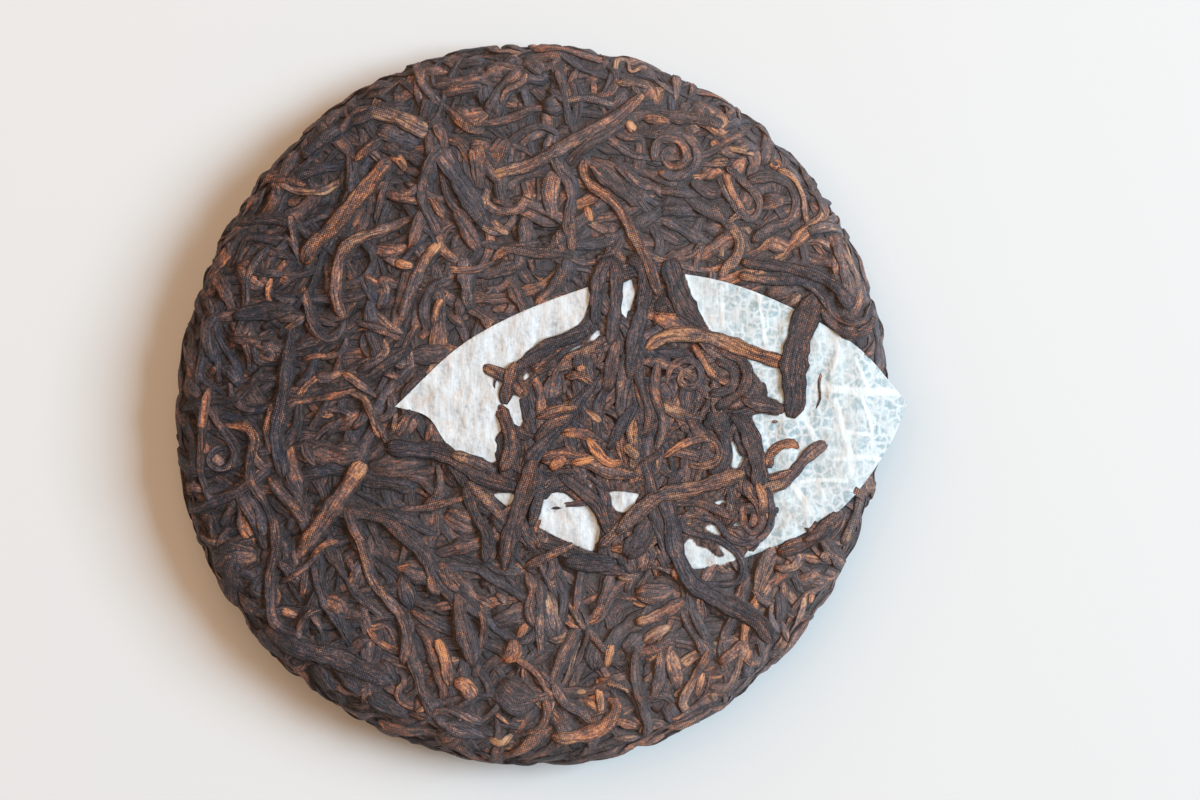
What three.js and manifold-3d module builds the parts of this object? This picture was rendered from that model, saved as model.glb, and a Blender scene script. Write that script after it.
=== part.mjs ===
// A pressed cake of pu erh tea, 110 mm across, with a leaf-shaped paper ticket held in its face.
// Millimetres, +Z up. The cake lies on its flat seat at z = 0; the origin is the middle of its footprint.

import * as THREE from "three";
import { ParametricGeometry } from "three/addons/geometries/ParametricGeometry.js";
import { mergeVertices } from "three/addons/utils/BufferGeometryUtils.js";
import Module from "manifold-3d";

// ---------------------------------------------------------------- driving dimensions

const RADIUS = 55; // mean radius of the cake, at its widest
const CROWN_HEIGHT = 13.2; // height of the face in the middle
const SHOULDER_HEIGHT = 11.6; // height of the face where the shoulder starts
const SHOULDER = 5.5; // how far in from the rim the shoulder starts
const WAIST_HEIGHT = 6; // height of the widest part of the side
const SEAT_RADIUS = 49; // outer radius of the flat seat
const DIMPLE_RADIUS = 15; // hollow that the knot of the pressing bag leaves underneath
const DIMPLE_DEPTH = 3.6;

const OVAL = 0.55; // how far the outline bulges along its long diagonal
const OVAL_ANGLE = THREE.MathUtils.degToRad(67.5);
const SQUARENESS = 0.3; // a weaker bulge at four places round the outline
const SQUARE_ANGLE = THREE.MathUtils.degToRad(22.5);
const LUMPS = 0.45; // height of the uneven relief that the packed strands leave

const PAPER = 0.2; // thickness of the ticket
const PAPER_SINK = 0.5; // how far the ticket's face lies below the cake's
const PAPER_STRAIGHT = 50.5; // beyond this distance the ticket runs on straight, past the rim
const PAPER_SLOPE = 0.26;
const CLEARANCE = 0.3; // free space all round the ticket

const STRAND_THICKNESS = 1.2; // of the strands that lie on the ticket
const STRAND_DIP = 1.1; // how far they sink into the cake beside it
const STRAND_SIDES = 8;

const AROUND = 72; // steps round the cake

// ---------------------------------------------------------------- the cake's form

const smooth = THREE.MathUtils.smoothstep;

// How much wider or narrower than RADIUS the outline is in a direction.
function outlineFactor(angle) {
  const oval = OVAL * Math.cos(2 * (angle - OVAL_ANGLE));
  const square = SQUARENESS * Math.cos(4 * (angle - SQUARE_ANGLE));
  return 1 + (oval + square) / RADIUS;
}

// Height of the smooth face at a distance from the axis: a shallow crown, then a round shoulder.
function faceHeight(distance) {
  const start = RADIUS - SHOULDER;
  const crown = CROWN_HEIGHT - (CROWN_HEIGHT - SHOULDER_HEIGHT) * Math.min(1, distance / start) ** 2;
  if (distance <= start) return crown;
  const over = Math.min(1, (distance - start) / SHOULDER);
  return SHOULDER_HEIGHT - (SHOULDER_HEIGHT - WAIST_HEIGHT) * (1 - Math.sqrt(1 - over * over));
}

// The half section from the middle of the underside, round the rim, to the middle of the face.
function halfSection() {
  const dimple = new THREE.SplineCurve([
    new THREE.Vector2(0, DIMPLE_DEPTH),
    new THREE.Vector2(0.45 * DIMPLE_RADIUS, 0.75 * DIMPLE_DEPTH),
    new THREE.Vector2(0.8 * DIMPLE_RADIUS, 0.15 * DIMPLE_DEPTH),
    new THREE.Vector2(DIMPLE_RADIUS, 0),
  ]).getPoints(5);
  const turnUp = new THREE.EllipseCurve(
    SEAT_RADIUS, WAIST_HEIGHT, RADIUS - SEAT_RADIUS, WAIST_HEIGHT, -Math.PI / 2, 0,
  ).getPoints(5);
  const shoulder = new THREE.EllipseCurve(
    RADIUS - SHOULDER, WAIST_HEIGHT, SHOULDER, SHOULDER_HEIGHT - WAIST_HEIGHT, 0, Math.PI / 2,
  ).getPoints(5);
  const rings = 14;
  const face = Array.from({ length: rings }, (_, i) => {
    const distance = (RADIUS - SHOULDER) * (1 - (i + 1) / rings);
    return new THREE.Vector2(distance, faceHeight(distance));
  });
  return [...dimple, ...turnUp, ...shoulder.slice(1), ...face];
}

// Uneven relief of the packed strands: crossing waves whose crests wander, from -1 to 1.
function relief(x, y, z) {
  const across = Math.sin(0.62 * x + 2.1 * Math.sin(0.21 * y) + 0.9 * z);
  const along = Math.sin(0.55 * y + 1.9 * Math.sin(0.27 * x + 1) - 0.8 * z);
  const slanting = Math.sin(0.4 * x - 0.33 * y + 2.4 * Math.sin(0.16 * x + 0.25 * y));
  return 0.6 * across * along + 0.4 * slanting;
}

// The whole cake as one closed surface: an uneven body of revolution with lumps off its seat.
function cakeGeometry() {
  const section = halfSection();
  const point = (u, v, target) => {
    const angle = 2 * Math.PI * u;
    const place = section[Math.round(v * (section.length - 1))];
    const rim = smooth(place.x, 0.3 * RADIUS, RADIUS);
    const factor = 1 + (outlineFactor(angle) - 1) * rim;
    const x = place.x * factor * Math.cos(angle);
    const y = place.x * factor * Math.sin(angle);
    const lump = LUMPS * relief(x, y, place.y);
    const onSide = smooth(place.y, 0.5, 3) * smooth(place.x, SEAT_RADIUS, RADIUS);
    const onFace = smooth(place.y, SHOULDER_HEIGHT - 3, SHOULDER_HEIGHT);
    const swell = 1 + (lump * onSide) / RADIUS;
    target.set(x * swell, y * swell, place.y + lump * onFace);
  };
  return new ParametricGeometry(point, AROUND, section.length - 1);
}

// ---------------------------------------------------------------- the ticket

const TICKET_TIP = [-20.6, -0.3];
const TICKET_END = [57.6, 0.2];
const TICKET_UPPER = [[-9.6, 9.7], [5, 16.6], [19, 19.9], [32.8, 17.6], [48.6, 9.6]];
const TICKET_LOWER = [[-15.6, -1.9], [-12.2, -6.6], [-3.5, -15.6], [9.4, -22.4], [24.5, -25],
  [37.7, -21.3], [47.3, -15.8], [54.4, -6.8]];

function edgeCurve(between) {
  const points = [TICKET_TIP, ...between, TICKET_END].map(([x, y]) => new THREE.Vector2(x, y));
  return new THREE.SplineCurve(points);
}

const upperEdge = edgeCurve(TICKET_UPPER);
const lowerEdge = edgeCurve(TICKET_LOWER);

// Height of the ticket's upper side: it follows the face, and leaves it straight at the rim.
function paperHeight(distance) {
  const beyond = Math.max(0, distance - PAPER_STRAIGHT);
  return faceHeight(distance - beyond) - PAPER_SINK - PAPER_SLOPE * beyond;
}

// The ticket's leaf shape between its two edges, bent over the cake. Its section runs once round:
// along the upper side from the lower edge to the upper one, then back along the underside.
// With a margin it is the same shape grown on every side; above sets how far upward it is grown.
function ticketGeometry(margin, above, along, across) {
  const round = 2 * across + 2;
  const point = (u, v, target) => {
    const step = Math.round(u * round) % round;
    const onTop = step <= across;
    const share = onTop ? step / across : (round - 1 - step) / across;
    const low = lowerEdge.getPointAt(v);
    const high = upperEdge.getPointAt(v);
    const half = Math.max(2, 0.5 * low.distanceTo(high));
    const place = low.lerp(high, 0.5 + (share - 0.5) * (1 + margin / half));
    place.x += margin * (2 * v - 1);
    const top = paperHeight(place.length());
    target.set(place.x, place.y, onTop ? top + above : top - PAPER - margin);
  };
  return new ParametricGeometry(point, round, along);
}

// ---------------------------------------------------------------- strands on the ticket

// Strands and mats of strands that hold the ticket down: width, then the places they run through.
const HOLDING_STRANDS = [
  [2.2, [9.4, 19.5], [9.6, 14], [4, 9.9], [-1.5, 6.4], [-3.7, 0.6]],
  [2.1, [-4.9, -0.6], [-3.1, -6], [-4.4, -9.6], [-9, -12]],
  [2.7, [-19, -6.8], [-13.5, -6.8], [-7.5, -10.8], [0.5, -12.2]],
  [3.2, [4, -4], [0, -11], [-2.6, -18], [-4.2, -26]],
  [3, [8.6, -9], [10.4, -15], [11.6, -21], [9, -26]],
  [2.6, [16.4, -15.2], [22, -13.2], [27, -11.8], [33, -10.6]],
  [3.7, [42.8, 17.5], [41, 12], [39.8, 5], [40.2, -1]],
  [1.9, [17.5, 8.6], [21.5, 10.8], [28, 9.8], [38.5, 6.2]],
  [2.2, [28, 2.5], [34, 0.4], [40, -1.1]],
  [3, [30.5, -1], [33.8, -6], [35.2, -11], [33.2, -17.5], [35, -20.4]],
  [1.9, [34.8, -12.6], [40, -10.4], [45.4, -6]],
  [1.7, [36.6, -13], [37.3, -17.5], [34.5, -20.7], [31, -20.4], [25, -16]],
  [1.7, [31.2, -27], [31.8, -23], [26.5, -19.6], [23, -17.6]],
  [3.4, [18.6, -12], [20.3, -19], [22.6, -25], [27, -31]],
  [11, [14.5, 25], [15, 15], [12.5, 3], [15, -10], [15.5, -29]],
  [13, [1, 0], [10, 2], [22, 3], [32, 3]],
  [7, [22.2, 23], [22, 14], [26, 6.5], [30.5, -3], [24, -9]],
];

// How far a place lies outside the ticket's outline, measured straight up, down or sideways.
function outsideTicket(x, y) {
  const samples = 60;
  const at = (edge) => {
    const points = edge.getPoints(samples);
    const next = points.findIndex((p) => p.x > x);
    if (next < 1) return points[next < 0 ? samples : 0].y;
    const [before, after] = [points[next - 1], points[next]];
    return THREE.MathUtils.mapLinear(x, before.x, after.x, before.y, after.y);
  };
  return Math.max(y - at(upperEdge), at(lowerEdge) - y, TICKET_TIP[0] - x, x - TICKET_END[0]);
}

// One strand: a flattened tube along a smooth line over the ticket, rounded off at both ends and
// sunk into the cake beside the ticket.
function strandGeometry(width, places) {
  const line = new THREE.SplineCurve(places.map(([x, y]) => new THREE.Vector2(x, y)));
  const floor = CLEARANCE + 0.06 + 0.5 * STRAND_THICKNESS;
  const point = (u, v, target) => {
    const centre = line.getPointAt(v);
    const run = line.getTangentAt(v);
    const girth = Math.sqrt(Math.max(0, 1 - Math.abs(2 * v - 1) ** 6));
    const turn = 2 * Math.PI * u;
    const aside = -0.5 * width * girth * Math.cos(turn);
    const x = centre.x - aside * run.y;
    const y = centre.y + aside * run.x;
    const dip = STRAND_DIP * smooth(outsideTicket(x, y), 0.5, 2.5);
    const top = paperHeight(Math.hypot(x, y)) + floor - dip;
    target.set(x, y, top + 0.5 * STRAND_THICKNESS * girth * Math.sin(turn));
  };
  return new ParametricGeometry(point, STRAND_SIDES, 3 * places.length);
}

// ---------------------------------------------------------------- joining and cutting

const wasm = await Module();
wasm.setup();

// A closed surface as a solid: only places count, and faces with no area are dropped.
function solidOf(geometry) {
  const bare = geometry.clone().deleteAttribute("normal").deleteAttribute("uv");
  const merged = mergeVertices(bare, 1e-4);
  const index = merged.index.array;
  const kept = [];
  for (let i = 0; i < index.length; i += 3) {
    const [a, b, c] = index.slice(i, i + 3);
    if (a !== b && b !== c && c !== a) kept.push(a, b, c);
  }
  const mesh = new wasm.Mesh({
    numProp: 3,
    vertProperties: merged.attributes.position.array,
    triVerts: new Uint32Array(kept),
  });
  const solid = new wasm.Manifold(mesh);
  if (solid.volume() > 0) return solid;
  mesh.triVerts = mesh.triVerts.map((_, i) => kept[i - (i % 3) + 2 - (i % 3)]);
  return new wasm.Manifold(mesh);
}

function geometryOf(solid) {
  const { vertProperties, triVerts } = solid.getMesh();
  const geometry = new THREE.BufferGeometry();
  geometry.setAttribute("position", new THREE.BufferAttribute(vertProperties, 3));
  geometry.setIndex(new THREE.BufferAttribute(triVerts, 1));
  geometry.computeVertexNormals();
  return geometry;
}

function namedMesh(name, solid, finish) {
  const mesh = new THREE.Mesh(geometryOf(solid), new THREE.MeshStandardMaterial(finish));
  mesh.name = name;
  return mesh;
}

const sheet = solidOf(ticketGeometry(0, 0, 28, 7));
const slot = solidOf(ticketGeometry(CLEARANCE, CLEARANCE, 28, 7));
const opening = solidOf(ticketGeometry(CLEARANCE, 4, 28, 7));
const strands = HOLDING_STRANDS.map(([width, ...places]) => solidOf(strandGeometry(width, places)));
const holding = strands.reduce((sum, strand) => sum.add(strand)).subtract(slot);
const cake = solidOf(cakeGeometry()).subtract(opening).add(holding);

const part = new THREE.Group();
part.add(namedMesh("tea_cake", cake, { color: 0x4a3229, roughness: 0.62, metalness: 0 }));
part.add(namedMesh("paper_ticket", sheet, { color: 0xe8ecee, roughness: 0.85, metalness: 0 }));

// The ticket's end reaches past the rim, so the footprint's middle is not the cake's own axis.
const footprint = new THREE.Box3().setFromObject(part).getCenter(new THREE.Vector3());
part.position.set(-footprint.x, -footprint.y, 0);

export default part;
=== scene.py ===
"""The looks of a small pressed cake of pu erh tea with a blank leaf-shaped paper ticket in its face.

The leaf strands are laid one by one on a grid of heights, as leaves fall into a pressing bag, then the
whole pile is pressed against a smooth lid and bent round the cake's form. All sizes are in millimetres
in the cake's own frame, whose origin is the middle of the cake, until in_frame() gives metres.
"""

import functools
import math

import bpy
import numpy as np
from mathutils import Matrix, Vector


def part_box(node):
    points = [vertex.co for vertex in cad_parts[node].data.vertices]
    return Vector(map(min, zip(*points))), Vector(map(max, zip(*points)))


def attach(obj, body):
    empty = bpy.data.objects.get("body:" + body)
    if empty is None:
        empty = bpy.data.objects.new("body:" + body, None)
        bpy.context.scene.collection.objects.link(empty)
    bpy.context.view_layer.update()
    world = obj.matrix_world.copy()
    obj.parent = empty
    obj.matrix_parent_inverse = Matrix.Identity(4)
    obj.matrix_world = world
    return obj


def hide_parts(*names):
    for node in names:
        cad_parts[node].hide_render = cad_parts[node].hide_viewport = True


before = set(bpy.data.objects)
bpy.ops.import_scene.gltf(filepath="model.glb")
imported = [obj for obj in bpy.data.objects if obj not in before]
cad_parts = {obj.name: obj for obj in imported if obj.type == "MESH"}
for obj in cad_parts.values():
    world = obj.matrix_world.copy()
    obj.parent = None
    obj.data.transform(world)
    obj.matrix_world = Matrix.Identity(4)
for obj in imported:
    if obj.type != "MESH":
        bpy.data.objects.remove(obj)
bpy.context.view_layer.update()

MM = 0.001
TAU = 2 * math.pi

# ---------------------------------------------------------------- the cake's form, as in its solid

RADIUS = 55.0
CROWN = 13.2
SHOULDER_HEIGHT = 11.6
SHOULDER = 5.5
WAIST = 6.0
SEAT = 49.0
UNDER_REACH = 3.0
UNDER_LEVEL = 0.35
DIMPLE_RADIUS = 15.0
DIMPLE_DEPTH = 3.6
OVAL = 0.55
OVAL_ANGLE = math.radians(67.5)
SQUARENESS = 0.3
SQUARE_ANGLE = math.radians(22.5)

TICKET_TIP = (-20.6, -0.3)
TICKET_END = (57.6, 0.2)
TICKET_UPPER = [(-9.6, 9.7), (5, 16.6), (19, 19.9), (32.8, 17.6), (48.6, 9.6)]
TICKET_LOWER = [(-15.6, -1.9), (-12.2, -6.6), (-3.5, -15.6), (9.4, -22.4), (24.5, -25),
                (37.7, -21.3), (47.3, -15.8), (54.4, -6.8)]
PAPER = 0.2
PAPER_STRAIGHT = 50.5
PAPER_SLOPE = 0.26
PAPER_SINK = 0.7  # how far the leaf under the ticket is pressed in
PAPER_LEVEL = 0.02  # of the ticket's upper side above the face

EASE_FROM = 0.5  # the height below which shapes are eased up from the table
LOWEST = 0.03
UNDER_STEPS = 20  # of the section's stretch beneath
UNDER_LIFT = 0.3  # the most that a strand stands off the underside

ticket_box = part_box("paper_ticket")
cake_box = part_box("tea_cake")
AXIS = ((ticket_box[1].x - TICKET_END[0] * MM), (cake_box[0].y + cake_box[1].y) / 2 + 0.25 * MM)


def smooth(value, low, high):
    """An S-shaped step from 0 at low to 1 at high."""
    share = np.clip((value - low) / (high - low), 0, 1)
    return share * share * (3 - 2 * share)


def section():
    """Half of the cake's section, from the middle of its face round to the edge of its seat: a shallow
    parabola, then two quarter ellipses, and a short stretch beneath. Gives arc length, radius, height and
    the outward normal."""
    turn = np.linspace(0, TAU / 4, 60)[1:]
    flat = np.linspace(0, RADIUS - SHOULDER, 200)
    face = CROWN - (CROWN - SHOULDER_HEIGHT) * (flat / (RADIUS - SHOULDER)) ** 2
    radius = np.concatenate([
        flat,
        RADIUS - SHOULDER + SHOULDER * np.sin(turn),
        SEAT + (RADIUS - SEAT) * np.cos(turn),
        SEAT - np.linspace(0, UNDER_REACH, UNDER_STEPS)[1:],
    ])
    height = np.concatenate([
        face,
        WAIST + (SHOULDER_HEIGHT - WAIST) * np.cos(turn),
        np.maximum(WAIST - WAIST * np.sin(turn), UNDER_LEVEL),
        np.full(UNDER_STEPS - 1, UNDER_LEVEL),
    ])
    step = np.hypot(np.diff(radius), np.diff(height))
    along = np.concatenate([[0], np.cumsum(step)])
    out = -np.gradient(height, along)
    up = np.gradient(radius, along)
    return along, radius, height, out, up


ALONG, SECTION_R, SECTION_Z, SECTION_OUT, SECTION_UP = section()
ROUND_THE_RIM = ALONG[-UNDER_STEPS]  # the way along the section to the edge of the seat


def bulge(angle, radius):
    """How far the outline bulges out in a direction, an oval and a weaker square, less towards the middle."""
    oval = OVAL * np.cos(2 * (angle - OVAL_ANGLE))
    full = oval + SQUARENESS * np.cos(4 * (angle - SQUARE_ANGLE))
    return full * smooth(radius, 0.3 * RADIUS, RADIUS) * radius / RADIUS


def above_table(height):
    """Eases low heights towards the lowest, as an exponential does, so that nothing reaches the table."""
    room = EASE_FROM - LOWEST
    eased = LOWEST + room * np.exp((np.minimum(height, EASE_FROM) - EASE_FROM) / room)
    return np.where(height < EASE_FROM, eased, height)


def in_frame(radius, angle, height):
    """Points in the shared frame, in metres, from distance, direction and height about the cake's middle."""
    return np.stack([
        AXIS[0] + radius * np.cos(angle) * MM,
        AXIS[1] + radius * np.sin(angle) * MM,
        height * MM,
    ], axis=-1)


def place(x, y, lift):
    """Bends the flat pattern of the face round the cake: distance from the middle runs along the section,
    and lift stands off it along its normal. Gives points in metres."""
    along = np.hypot(x, y)
    angle = np.arctan2(y, x)
    radius = np.interp(along, ALONG, SECTION_R)
    radius = radius + bulge(angle, radius) + lift * np.interp(along, ALONG, SECTION_OUT)
    height = np.interp(along, ALONG, SECTION_Z) + lift * np.interp(along, ALONG, SECTION_UP)
    return in_frame(radius, angle, above_table(height))


def place_under(x, y, lift):
    """The same for the underside, seen from below: flat, with the hollow of the bag's knot in the middle."""
    radius = np.hypot(x, y)
    angle = np.arctan2(y, -x)
    hollow = DIMPLE_DEPTH * (1 - smooth(radius, 0, DIMPLE_RADIUS))
    return in_frame(radius + bulge(angle, radius), angle, above_table(hollow + UNDER_LEVEL - lift))


def place_strand_under(x, y, lift):
    """The same for strands, which stand no further off the underside than a set height."""
    return place_under(x, y, np.minimum(lift, UNDER_LIFT))


# ---------------------------------------------------------------- smooth lines and wanders

SPAN_CUTS = 12  # between two points of a line, before it is evened
LEAST_STEPS = 6  # of any line


def through(points, step):
    """A smooth line through points (Catmull-Rom cubics), cut into even steps. The points may come as pairs
    or as one row of x, y, x, y."""
    points = np.reshape(np.array(points, float), (-1, 2))
    padded = np.concatenate([2 * points[:1] - points[1:2], points, 2 * points[-1:] - points[-2:-1]])
    share = np.linspace(0, 1, SPAN_CUTS, endpoint=False)[:, None]
    spans = []
    for before, start, end, after in zip(padded, padded[1:], padded[2:], padded[3:]):
        cubic = 2 * start + (end - before) * share
        cubic = cubic + (2 * before - 5 * start + 4 * end - after) * share ** 2
        spans.append((cubic + (3 * start - before - 3 * end + after) * share ** 3) / 2)
    return even(np.concatenate(spans + [points[-1:]]), step)


def even(line, step):
    """The same line with its points at even steps."""
    travelled = np.concatenate([[0], np.cumsum(np.hypot(*np.diff(line, axis=0).T))])
    count = max(LEAST_STEPS, int(round(travelled[-1] / step)) + 1)
    marks = np.linspace(0, travelled[-1], count)
    return np.stack([np.interp(marks, travelled, line[:, 0]), np.interp(marks, travelled, line[:, 1])], 1)


def wander(s, length, draws):
    """A smooth wander along a strand, from -1 to 1: two sines of unlike wavelength and random phase."""
    first, second = draws.uniform(0, TAU, 2)
    return 0.6 * np.sin(TAU * s / length + first) + 0.4 * np.sin(TAU * s / (0.43 * length) + second)


def field(seed, scale, count=7):
    """A smooth random function of place, from about -1 to 1: a few sines in random directions."""
    draws = np.random.default_rng(seed)
    heading, phase = draws.uniform(0, TAU, (2, count))
    pitch = TAU / (scale * draws.uniform(0.7, 1.6, count))

    def value(x, y):
        total = 0
        for h, p, k in zip(heading, phase, pitch):
            total = total + np.sin(k * (x * math.cos(h) + y * math.sin(h)) + p)
        return total / math.sqrt(count)

    return value


# ---------------------------------------------------------------- strands and the pile

STEP = 0.6  # between the rings of a strand
RING_UP = 7  # points over the top of a ring
RING_DOWN = 3  # points beneath
CELL = 0.25  # of the grid of heights
SINK = 0.12  # how far a strand settles into what it lies on, in thicknesses
MOST_TILT = 0.45
THINNEST = 0.45


class Strand:
    """One leaf strand: its middle line on the pattern, and width, thickness and tone along it."""

    def __init__(self, kind, line, width, thickness, tone, draws, fray=0.5):
        self.kind, self.line, self.over = kind, line, False
        count = len(line)
        run = np.gradient(line, axis=0)
        run /= np.maximum(np.hypot(run[:, 0], run[:, 1]), 1e-6)[:, None]
        self.aside = np.stack([-run[:, 1], run[:, 0]], 1)
        step = np.hypot(*(line[1] - line[0]))
        self.s = np.arange(count) * step
        self.length = self.s[-1]
        point = draws.choice([0.7, 1.5, 3.0], 2, p=[0.42, 0.4, 0.18]) * width
        point = np.minimum(point, 0.5 * self.length)
        blunt = 0.12 * width
        start = np.clip((self.s + blunt) / point[0], 0, 1)
        end = np.clip((self.length - self.s + blunt) / point[1], 0, 1)
        taper = np.sqrt(np.sin(0.25 * TAU * start) * np.sin(0.25 * TAU * end))
        uneven = 1 + 0.5 * fray * wander(self.s, 7.5, draws) + 0.25 * fray * wander(self.s, 2.6, draws)
        self.half = 0.5 * width * taper * uneven
        self.thick = thickness * (0.25 + 0.75 * taper) * (1 + 0.15 * wander(self.s, 6, draws))
        self.tone = tone + 0.07 * wander(self.s, 11, draws) + draws.uniform(0, 0.08) * (1 - taper)
        self.tip = draws.choice([0, 0, 0, 1]) * np.clip(1.6 - self.s / 3, 0, 1)
        self.twist = draws.uniform(-0.5, 0.5)
        self.phase = draws.uniform(0, TAU, 3)
        self.grain = draws.uniform(0, 400, 2)
        self.tuck = draws.choice([0.15, 0.8], 2, p=[0.25, 0.75])
        self.crease = draws.uniform(0.3, 0.7) * TAU / 2
        self.groove = draws.uniform(0, 0.55)
        self.level = np.zeros(count)
        self.tilt = np.zeros(count)

    def at(self, marks, values):
        """A value along the strand read between its steps, as a column."""
        return np.interp(marks, np.arange(len(self.s)), values)[:, None]


def curled_line(start, heading, length, bend, sway, draws):
    """A strand's line from its curvature: a steady bend, a sway, and one or two sharp kinks."""
    count = max(LEAST_STEPS, int(length / STEP))
    s = np.arange(count) * STEP
    curvature = bend + sway * wander(s, draws.uniform(7, 14), draws)
    turn = np.cumsum(curvature) * STEP
    for _ in range(draws.integers(0, 3)):
        at, size = draws.uniform(0, length), draws.normal(0, 0.45)
        turn = turn + size * smooth(s, at - 0.7, at + 0.7)
    turn = heading + turn - turn[count // 2]
    line = np.cumsum(np.stack([np.cos(turn), np.sin(turn)], 1) * STEP, axis=0)
    return line - line[count // 2] + np.array(start)


class Pile:
    """Heights over the pattern plane, on which strands are laid one after another, and the number of the
    strand that is uppermost in each cell."""

    def __init__(self, reach, edge):
        self.reach, self.edge = reach, edge
        self.count = int(2 * reach / CELL)
        self.height = np.zeros((self.count, self.count))
        self.owner = np.full((self.count, self.count), -1)
        middle = (np.arange(self.count) + 0.5) * CELL - reach
        self.x, self.y = np.meshgrid(middle, middle)
        self.strands = []

    def cells(self, x, y):
        """The row and column of the cell that each place lies in."""
        column = np.clip(((x + self.reach) / CELL).astype(int), 0, self.count - 1)
        row = np.clip(((y + self.reach) / CELL).astype(int), 0, self.count - 1)
        return row, column

    def rest(self, strand):
        """Lets a strand settle: at each step along it the level is between the mean and the highest of
        what lies under its width, smoothed along its length, and it leans with what is under it."""
        share = np.array([-0.75, -0.4, 0, 0.4, 0.75])
        reach = strand.half[:, None] * share
        x = strand.line[:, :1] + strand.aside[:, :1] * reach
        y = strand.line[:, 1:] + strand.aside[:, 1:] * reach
        under = self.height[self.cells(x, y)]
        level = 0.5 * under.mean(1) + 0.5 * under.max(1)
        lean = (under[:, 3:].mean(1) - under[:, :2].mean(1)) / np.maximum(1.15 * strand.half, 0.3)
        soft = np.hanning(9)[1:-1]
        soft /= soft.sum()
        edge = len(soft) // 2
        level = np.convolve(np.pad(level, edge, mode="edge"), soft, mode="valid")
        lean = np.convolve(np.pad(lean, edge, mode="edge"), soft, mode="valid")
        dip = strand.tuck[0] * (1 - smooth(strand.s, 0, 3)) ** 2
        dip = dip + strand.tuck[1] * (1 - smooth(strand.length - strand.s, 0, 3)) ** 2
        strand.level = level + (0.5 - SINK) * strand.thick - dip
        strand.tilt = np.clip(lean, -MOST_TILT, MOST_TILT)

    def lay(self, strand):
        """Lays a strand and raises the heights to its upper side."""
        self.rest(strand)
        finer = 3
        marks = np.linspace(0, len(strand.s) - 1, finer * len(strand.s))
        at = functools.partial(strand.at, marks)
        half, thick = at(strand.half), at(strand.thick)
        across = np.linspace(-1, 1, max(5, int(2 * strand.half.max() / (0.7 * CELL))))[None]
        offset = across * half
        x = at(strand.line[:, 0]) + at(strand.aside[:, 0]) * offset
        y = at(strand.line[:, 1]) + at(strand.aside[:, 1]) * offset
        top = at(strand.level) + at(strand.tilt) * offset
        top = top + 0.5 * thick * np.sqrt(1 - 0.9 * across ** 2)
        cells = self.cells(x, y)
        higher = top > self.height[cells]
        row, column = cells[0][higher], cells[1][higher]
        self.height[row, column] = top[higher]
        self.owner[row, column] = len(self.strands)
        self.strands.append(strand)

    def lowest(self, draws, choices, allowed):
        """Of a few random places, the one that lies lowest, because leaves fill the hollows."""
        x, y = draws.uniform(-self.reach, self.reach, (2, 80 * choices))
        inside = allowed(x, y)
        x, y = x[inside][:choices], y[inside][:choices]
        spread = np.array([-1, 0, 1])
        near = self.height[self.cells(x[:, None, None] + spread[:, None], y[:, None, None] + spread)]
        best = near.mean((1, 2)).argmin()
        return x[best], y[best]

    def blurred(self, values, reach):
        """A grid of values smoothed by a bell curve, through its spectrum; what lies past the pattern's
        edge doesn't count."""
        wave = np.fft.fftfreq(self.count, CELL)
        bell = np.exp(-2 * (math.pi * reach) ** 2 * (wave[:, None] ** 2 + wave ** 2))
        counts = np.hypot(self.x, self.y) < self.edge
        total, weight = (np.fft.ifft2(np.fft.fft2(v) * bell).real for v in (values * counts, counts))
        return total / np.maximum(weight, 1e-3)

    def read(self, values, x, y):
        """A grid's values at any place, blended between the four nearest cells; past the pattern's edge,
        the values at its edge."""
        inward = np.minimum(1, (self.edge - 1) / np.maximum(np.hypot(x, y), 1e-6))
        x, y = x * inward, y * inward
        column = np.clip((x + self.reach) / CELL - 0.5, 0, self.count - 1.001)
        row = np.clip((y + self.reach) / CELL - 0.5, 0, self.count - 1.001)
        c, r = column.astype(int), row.astype(int)
        u, v = column - c, row - r
        low = values[r, c] * (1 - u) + values[r, c + 1] * u
        high = values[r + 1, c] * (1 - u) + values[r + 1, c + 1] * u
        return low * (1 - v) + high * v


# kind: share of the strands, length range, width range, thickness in widths, bend, sway
KINDS = {
    "long_strand": (0.32, (13, 30), (1.1, 2.1), 0.5, 0.05, 0.17),
    "short_strand": (0.27, (4, 10), (1.0, 2.3), 0.5, 0.09, 0.20),
    "folded_leaf": (0.13, (5, 12), (2.4, 4.2), 0.26, 0.06, 0.14),
    "stalk": (0.14, (6, 18), (0.7, 1.1), 0.7, 0.05, 0.16),
    "curl": (0.08, (8, 16), (0.9, 1.5), 0.6, 0.30, 0.10),
    "leaf_crumb": (0.06, (1.6, 4), (0.9, 1.7), 0.5, 0.05, 0.1),
}

LONG, SHORT, LEAF, STALK, CURL, CRUMB = KINDS

# share of the strands, lowest and highest tone: from blue-black through brown to gold
TONES = [(0.42, 0.1, 0.27), (0.42, 0.27, 0.43), (0.13, 0.43, 0.58), (0.03, 0.6, 0.76)]


def trimmed(line, allowed):
    """The stretch round a line's middle that lies where strands are allowed."""
    inside = allowed(line[:, 0], line[:, 1])
    middle = len(line) // 2
    before = np.flatnonzero(~inside[:middle])
    after = np.flatnonzero(~inside[middle:])
    first = before[-1] + 1 if len(before) else 0
    last = middle + after[0] if len(after) else len(line)
    return line[first:last]


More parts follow.
